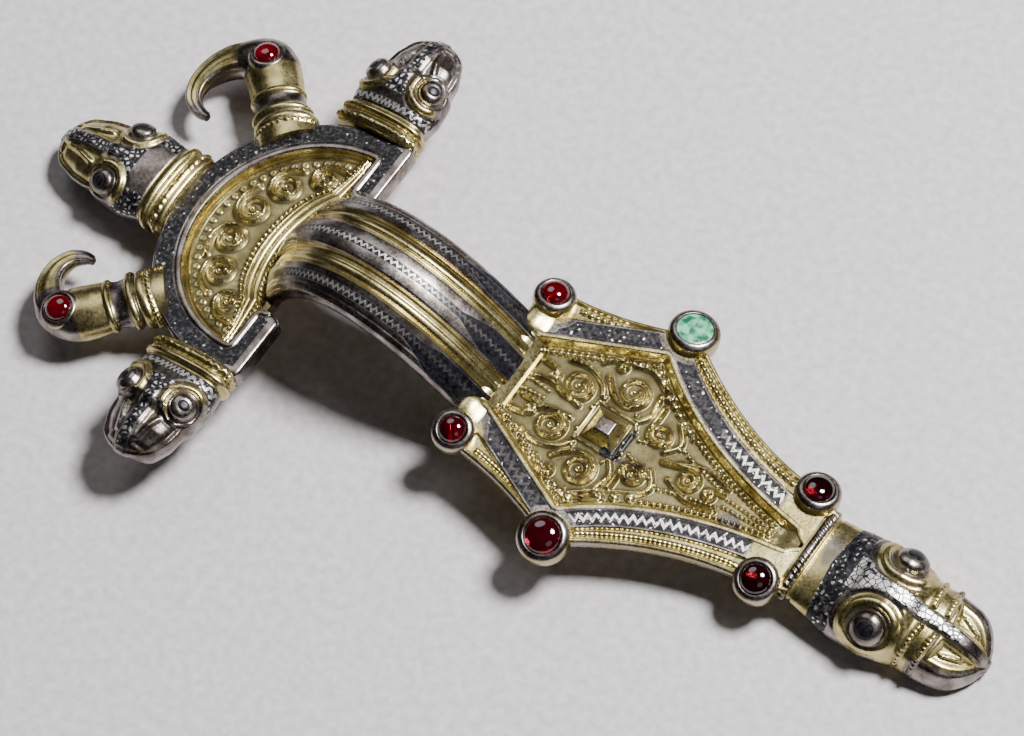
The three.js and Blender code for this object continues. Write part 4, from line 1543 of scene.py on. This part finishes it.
def blank(
    name: str, constants: dict[str, object],
) -> tuple[bpy.types.Material, bpy.types.NodeTree, bpy.types.Node]:
    """A new material whose shader has some values that are the same all over.

    Args:
        name: The material's name.
        constants: Values by the shader's input names.

    Returns:
        The material, its node tree and its shader.
    """
    material = bpy.data.materials.new(name)
    material.use_nodes = True
    tree = material.node_tree
    tree.nodes.clear()
    shader = node(tree, "ShaderNodeBsdfPrincipled", constants)
    node(tree, "ShaderNodeOutputMaterial", {"Surface": shader.outputs[0]})
    return material, tree, shader


@dataclass(frozen=True)
class FireGiltSilver:
    """Cast silver, gilt with gold and mercury over fire, polished, and inlaid with niello.

    Gilding stays pale and warm in the carving, browned in the hollows by dirt and painted shade,
    and is rubbed through to grey silver on the crests, which are painted paler as a highlight.
    Niello is a blue-black sulphide, flush and half dull.
    Sizes of the patches, the grain, the specks, one tooth and one scale are in millimetres.
    """

    gold: str = "#D4C78F"
    old_gold: str = "#968859"
    bare: str = "#A59D98"
    tarnish: str = "#5E544F"
    # Paler gold painted on the crests as a highlight, standing also for their polish
    polish_and_highlight: str = "#F2E4B0"
    bright: str = "#D8D5D1"
    # Dark brown of the hollows: dirt and painted shade
    dirt_and_shade: str = "#2B2314"
    niello: str = "#08080A"
    grey_niello: str = "#222127"
    patch: float = 2.4
    grain: float = 0.3
    speck: float = 0.42
    tooth: float = 1.0
    scale: float = 0.62

    def build(self) -> bpy.types.Material:
        """Makes the material.

        Returns:
            The material, which reads the values kept at the points and Object coordinates.
        """
        name = "fire_gilt_silver_with_niello"
        material, tree, shader = blank(name, {"Specular IOR Level": 0.25})
        kept = {}
        for name in VALUES:
            read = node(tree, "ShaderNodeAttribute", attribute_name=name)
            kept[name] = Signal(tree, read.outputs["Fac"])
        patches, grains, specks = (
            clouds(tree, size, detail, 0.6)
            for size, detail in ((self.patch, 4), (self.grain, 3), (self.speck, 3))
        )
        uneven, wobble = patches - 0.5, (grains - 0.5) * 0.09
        hollow = kept["hollow"] + wobble
        # Hollows darken to dark brown: partly dirt, partly painted shade in the recesses
        dirt_and_shade = hollow.rise(0.03, 0.17)
        # Crests: worn through towards silver, and painted a paler gold as a highlight
        rubbed_and_highlit = (hollow * -1.0 + patches * 0.05).rise(0.09, 0.2)
        bared = (kept["silver"] + uneven * 0.9).rise(0.35, 0.65).math("MAXIMUM", rubbed_and_highlit * 0.15)
        gilding = patches.rise(0.3, 0.7).blend(self.old_gold, self.gold)
        gilding = (rubbed_and_highlit * 0.7).blend(gilding, self.polish_and_highlight)
        silver = patches.rise(0.35, 0.7).blend(self.tarnish, self.bare)
        metal = (dirt_and_shade * 0.8).blend(bared.blend(gilding, silver), self.dirt_and_shade)
        # Silver teeth reserved in the niello: a zigzag line about the middle of the band
        zigzag = kept["along"].math("PINGPONG", self.tooth / 2) * 1.4 - self.tooth * 0.35
        away = (kept["across"] - zigzag).math("ABSOLUTE") + uneven * 0.4 + wobble
        worn = (grains.rise(0.38, 0.52) + 0.25).math("MINIMUM", 0.9)
        teeth = away.rise(0.2, 0.34).rest() * kept["teeth"] * worn
        # Silver scales: cells of the inlay, drawn in from their borders where there are fewer
        given = {"Vector": place(tree), "Scale": per_mm(self.scale)}
        cells = node(tree, "ShaderNodeTexVoronoi", given, feature="DISTANCE_TO_EDGE")
        scales = Signal(tree, cells.outputs[0]) - kept["scales"].rest() * 0.3
        dots = specks.rise(0.48, 0.7) * 0.2 * kept["scales"].rise(-1.0, -0.1)
        inlaid = (kept["inlay"] + wobble).rise(-0.05, 0.05)
        reserved = teeth.math("MAXIMUM", scales.rise(0.04, 0.11)).math("MAXIMUM", dots) * inlaid
        metal = reserved.blend(metal, self.bright)
        inlaid = inlaid - reserved
        black = specks.rise(0.36, 0.6).blend(self.niello, self.grey_niello)
        dull = (inlaid * 0.75).math("MAXIMUM", dirt_and_shade * 0.3)
        height = grains * 0.5 + inlaid * -0.25
        bump = node(tree, "ShaderNodeBump", {"Height": height, "Strength": 0.35, "Distance": 8e-5})
        fill(tree, shader, {
            "Base Color": inlaid.blend(metal, black), "Metallic": dull.rest(),
            "Roughness": dull * 0.06 + grains * 0.26 + reserved * 0.14 + 0.17 - rubbed_and_highlit * 0.06,
            "Normal": bump.outputs[0],
        })
        return material


@dataclass(frozen=True)
class GarnetCabochon:
    """A polished garnet over a foil: see-through deep red, darker where the foil has dulled."""

    name: str
    red: str = "#D01434"
    cloud: float = 1.3

    def build(self) -> bpy.types.Material:
        """Makes the material.

        Returns:
            The material: a clear coloured stone with faint clouding in its colour.
        """
        constants = {"Roughness": 0.04, "IOR": 1.76, "Transmission Weight": 0.9}
        material, tree, shader = blank(self.name, constants)
        dark = tuple(0.45 * part for part in linear(self.red)[:3]) + (1.0,)
        fill(tree, shader, {"Base Color": clouds(tree, self.cloud, 2.0).blend(self.red, dark)})
        return material


@dataclass(frozen=True)
class GreenGlass:
    """Weathered green glass: milky and mint coloured, pitted, and duller than the garnets."""

    pale: str = "#78C39C"
    deep: str = "#1D5E46"
    cloud: float = 0.9

    def build(self) -> bpy.types.Material:
        """Makes the material.

        Returns:
            The material, clouded in patches almost a millimetre wide.
        """
        material, tree, shader = blank("weathered_green_glass", {
            "Roughness": 0.22, "IOR": 1.52, "Subsurface Weight": 0.4, "Subsurface Scale": 0.001,
            "Subsurface Radius": (0.6, 1.0, 0.8),
        })
        cloud = clouds(tree, self.cloud, 4.0)
        bump = node(tree, "ShaderNodeBump", {"Height": cloud, "Strength": 0.5, "Distance": 2e-4})
        colour = cloud.rise(0.38, 0.62, "LINEAR").blend(self.deep, self.pale)
        fill(tree, shader, {"Base Color": colour, "Normal": bump.outputs[0]})
        return material


@dataclass(frozen=True)
class GreyPaper:
    """The pale grey sheet under the brooch, with the faint mottle of matt paper."""

    light: str = "#E0DBDC"
    dark: str = "#A5A0A1"
    spot: float = 1.1

    def build(self) -> bpy.types.Material:
        """Makes the material.

        Returns:
            The material: matt, mottled in spots about a millimetre wide.
        """
        material, tree, shader = blank("matt_grey_paper", {"Roughness": 0.9})
        colour = clouds(tree, self.spot, 5.0).blend(self.dark, self.light)
        fill(tree, shader, {"Base Color": colour})
        return material


# Pieces and studio


def piece(
    name: str, skin: Skin, material: bpy.types.Material, replaces: str = "",
) -> None:
    """Makes a skin an object that rides on the brooch, at the origin, with its place in its mesh.

    Args:
        name: The piece's name.
        skin: Its mesh in the object's frame, in millimetres.
        material: Its material.
        replaces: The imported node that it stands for, if any.
    """
    mesh = bpy.data.meshes.new(name)
    corners = np.concatenate([skin.quads.ravel(), skin.triangles.ravel()])
    sizes = np.concatenate([np.full(len(skin.quads), 4), np.full(len(skin.triangles), 3)])
    mesh.vertices.add(len(skin.points))
    mesh.vertices.foreach_set("co", (skin.points * METRES).ravel())
    mesh.loops.add(len(corners))
    mesh.loops.foreach_set("vertex_index", corners)
    mesh.polygons.add(len(sizes))
    mesh.polygons.foreach_set("loop_start", np.cumsum(sizes) - sizes)
    mesh.polygons.foreach_set("use_smooth", np.ones(len(sizes), bool))
    for key, values in skin.values.items():
        mesh.attributes.new(key, "FLOAT", "POINT").data.foreach_set("value", values)
    mesh.update(calc_edges=True)
    mesh.validate()
    mesh.set_sharp_from_angle(angle=np.radians(SHARP_FROM))
    mesh.materials.append(material)
    made = linked(name, mesh)
    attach(made, "root")
    if replaces:
        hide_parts(replaces)
    log.info("%s: %d triangles", name, 2 * len(skin.quads) + len(skin.triangles))


def linked(name: str, data: bpy.types.ID) -> bpy.types.Object:
    """A new object in the scene."""
    made = bpy.data.objects.new(name, data)
    bpy.context.scene.collection.objects.link(made)
    return made


@dataclass(frozen=True)
class Lamp:
    """A round area light that faces the brooch: millimetres and watts."""

    name: str
    place: Triple
    width: float
    power: float

    def build(self) -> None:
        """Adds the lamp."""
        data = bpy.data.lights.new(self.name, "AREA")
        data.shape, data.size, data.energy = "DISK", self.width * METRES, self.power
        lamp = linked(self.name, data)
        x, y, z = np.array(self.place) * METRES
        lamp.location = (x, y, z)
        lamp.rotation_euler = (np.arctan2(np.hypot(x, y), z), 0, np.arctan2(y, x) + np.pi / 2)


@dataclass(frozen=True)
class Studio:
    """The camera, the ground and the soft lights: a key, a faint top light and a wide sheen."""

    camera_place: Triple = (142.72, -152.94, 382.10)
    camera_turn: Triple = (28.817, 4.550, 34.540)
    lens: float = 140.625
    sensor: float = 36.0
    near_and_far: Pair = (0.01, 10.0)
    ground: float = 1500.0
    lamps: tuple[Lamp, ...] = (
        Lamp("key", (200.0, 230.0, 540.0), 170.0, 10.0),
        Lamp("top", (360.0, -200.0, 460.0), 260.0, 0.1),
        Lamp("sheen", (-300.0, 220.0, 460.0), 330.0, 0.6),
    )
    sky: str = "#BDBDC2"
    sky_strength: float = 0.022

    def build(self) -> None:
        """Adds the camera, the ground, the lamps and a dim sky."""
        camera = linked("camera", bpy.data.cameras.new("camera"))
        camera.data.lens, camera.data.sensor_width = self.lens, self.sensor
        camera.data.clip_start, camera.data.clip_end = self.near_and_far
        camera.location = np.array(self.camera_place) * METRES
        camera.rotation_euler = np.radians(self.camera_turn)
        bpy.context.scene.camera = camera
        half = self.ground * METRES / 2
        corners = [(-half, -half, 0), (half, -half, 0), (half, half, 0), (-half, half, 0)]
        sheet = bpy.data.meshes.new("ground")
        sheet.from_pydata(corners, [], [(0, 1, 2, 3)])
        sheet.materials.append(GreyPaper().build())
        linked("ground", sheet)
        for lamp in self.lamps:
            lamp.build()
        world = bpy.data.worlds.new("sky")
        world.use_nodes = True
        background = world.node_tree.nodes["Background"]
        given = {"Color": linear(self.sky), "Strength": self.sky_strength}
        fill(world.node_tree, background, given)
        bpy.context.scene.world = world


# Share of the length, half-width, rise and drop of the two kinds of animal head
KNOB_ROWS = (
    (0, 0.9, 0.55, 0.9), (0.05, 1, 0.68, 1), (0.1, 0.9, 0.58, 1), (0.14, 1, 0.74, 1),
    (0.19, 0.91, 0.68, 1), (0.36, 1, 0.94, 1), (0.56, 0.92, 0.97, 1), (0.62, 0.82, 0.78, 1),
    (0.76, 0.76, 0.78, 1), (0.9, 0.6, 0.6, 0.85), (1, 0.45, 0.45, 0.6),
)
FOOT_ROWS = (
    (0, 0.86, 0.3, 0.35), (0.04, 0.9, 0.38, 0.4), (0.07, 0.87, 0.32, 0.45), (0.18, 0.92, 0.5, 0.75),
    (0.23, 0.96, 0.66, 0.9), (0.33, 1, 0.86, 1), (0.47, 1, 1, 1), (0.58, 0.9, 0.94, 1),
    (0.63, 0.84, 0.8, 1), (0.72, 0.82, 0.78, 1), (0.85, 0.76, 0.66, 0.95), (0.94, 0.62, 0.5, 0.85),
    (1, 0.5, 0.4, 0.7),
)


@dataclass
class Brooch:
    """The whole brooch: its sub-assemblies, their finishes, and the order they are made in."""

    foot: FootPlate = field(default_factory=FootPlate)
    bow: Bow = field(default_factory=Bow)
    head: HeadPlate = field(default_factory=HeadPlate)
    back: Back = field(default_factory=Back)
    knob_overlap: float = 0.6
    end_head_back: float = 2.3
    foot_head_start: float = 37.9
    worn_beak: float = 0.8

    def build(self) -> None:
        """Builds every piece of the casting and every stone."""
        centre = KnobHead(KNOB_ROWS, 18.0, neck_half=-0.58, bared=0.15).skin()
        out = self.head.radius - self.knob_overlap
        end = KnobHead(KNOB_ROWS, 13.95).skin().turned(90, (-self.end_head_back, out))
        foot_head = FootHead(FOOT_ROWS).skin().turned(0, (self.foot_head_start, 0))
        left_bird, right_bird = (BirdHead(self.head.radius, share) for share in (1, self.worn_beak))
        settings = all_settings(self.foot, {Side.LEFT: left_bird, Side.RIGHT: right_bird})
        metal = FireGiltSilver().build()
        for name, skin, frame in (
            ("foot_panel", self.foot.panel(), FOOT_FRAME),
            ("foot_border_left", self.foot.border(Side.LEFT), FOOT_FRAME),
            ("foot_border_right", self.foot.border(Side.RIGHT), FOOT_FRAME),
            ("saddle", self.foot.saddle(), FOOT_FRAME),
            ("bow", self.bow.skin(), FOOT_FRAME),
            ("head_rim", self.head.rim(), HEAD_FRAME),
            ("head_panel", self.head.panel(), HEAD_FRAME),
            ("centre_head", centre.turned(180, (-out, 0)), HEAD_FRAME),
            ("end_head_left", end, HEAD_FRAME),
            ("end_head_right", end.mirrored(), HEAD_FRAME),
            ("foot_head", foot_head, FOOT_FRAME),
            ("bird_head_left", left_bird.skin(), HEAD_FRAME),
            ("bird_head_right", right_bird.skin().mirrored(), HEAD_FRAME),
            ("stone_cups", joined([setting.cup_skin() for setting in settings]), None),
            ("spring_lugs", joined([self.back.lug(side) for side in Side]), None),
            ("catch", self.back.catch(), FOOT_FRAME),
        ):
            skin = skin.placed(frame) if frame else skin
            stands_for = "brooch_body" if name == "foot_panel" else ""
            piece(name, skin, metal, stands_for)
        bright = GarnetCabochon("bright_garnet").build()
        deep = GarnetCabochon("deep_garnet", "#8E0C2A").build()
        dull = GarnetCabochon("dull_garnet", "#4C0A1C").build()
        finishes = {
            "green_stone_side_left": GreenGlass().build(), "garnet_side_right": deep,
            "garnet_bow_right": deep, "garnet_end_left": dull, "garnet_end_right": dull,
        }
        for setting in settings:
            name = setting.node
            piece(f"{name}_stone", setting.stone_skin(), finishes.get(name, bright), name)


def main() -> None:
    """Loads the frame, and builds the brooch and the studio."""
    logging.basicConfig(level=logging.INFO, format="%(name)s: %(message)s")
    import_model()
    Brooch().build()
    Studio().build()


if __name__ == "__main__":
    main()
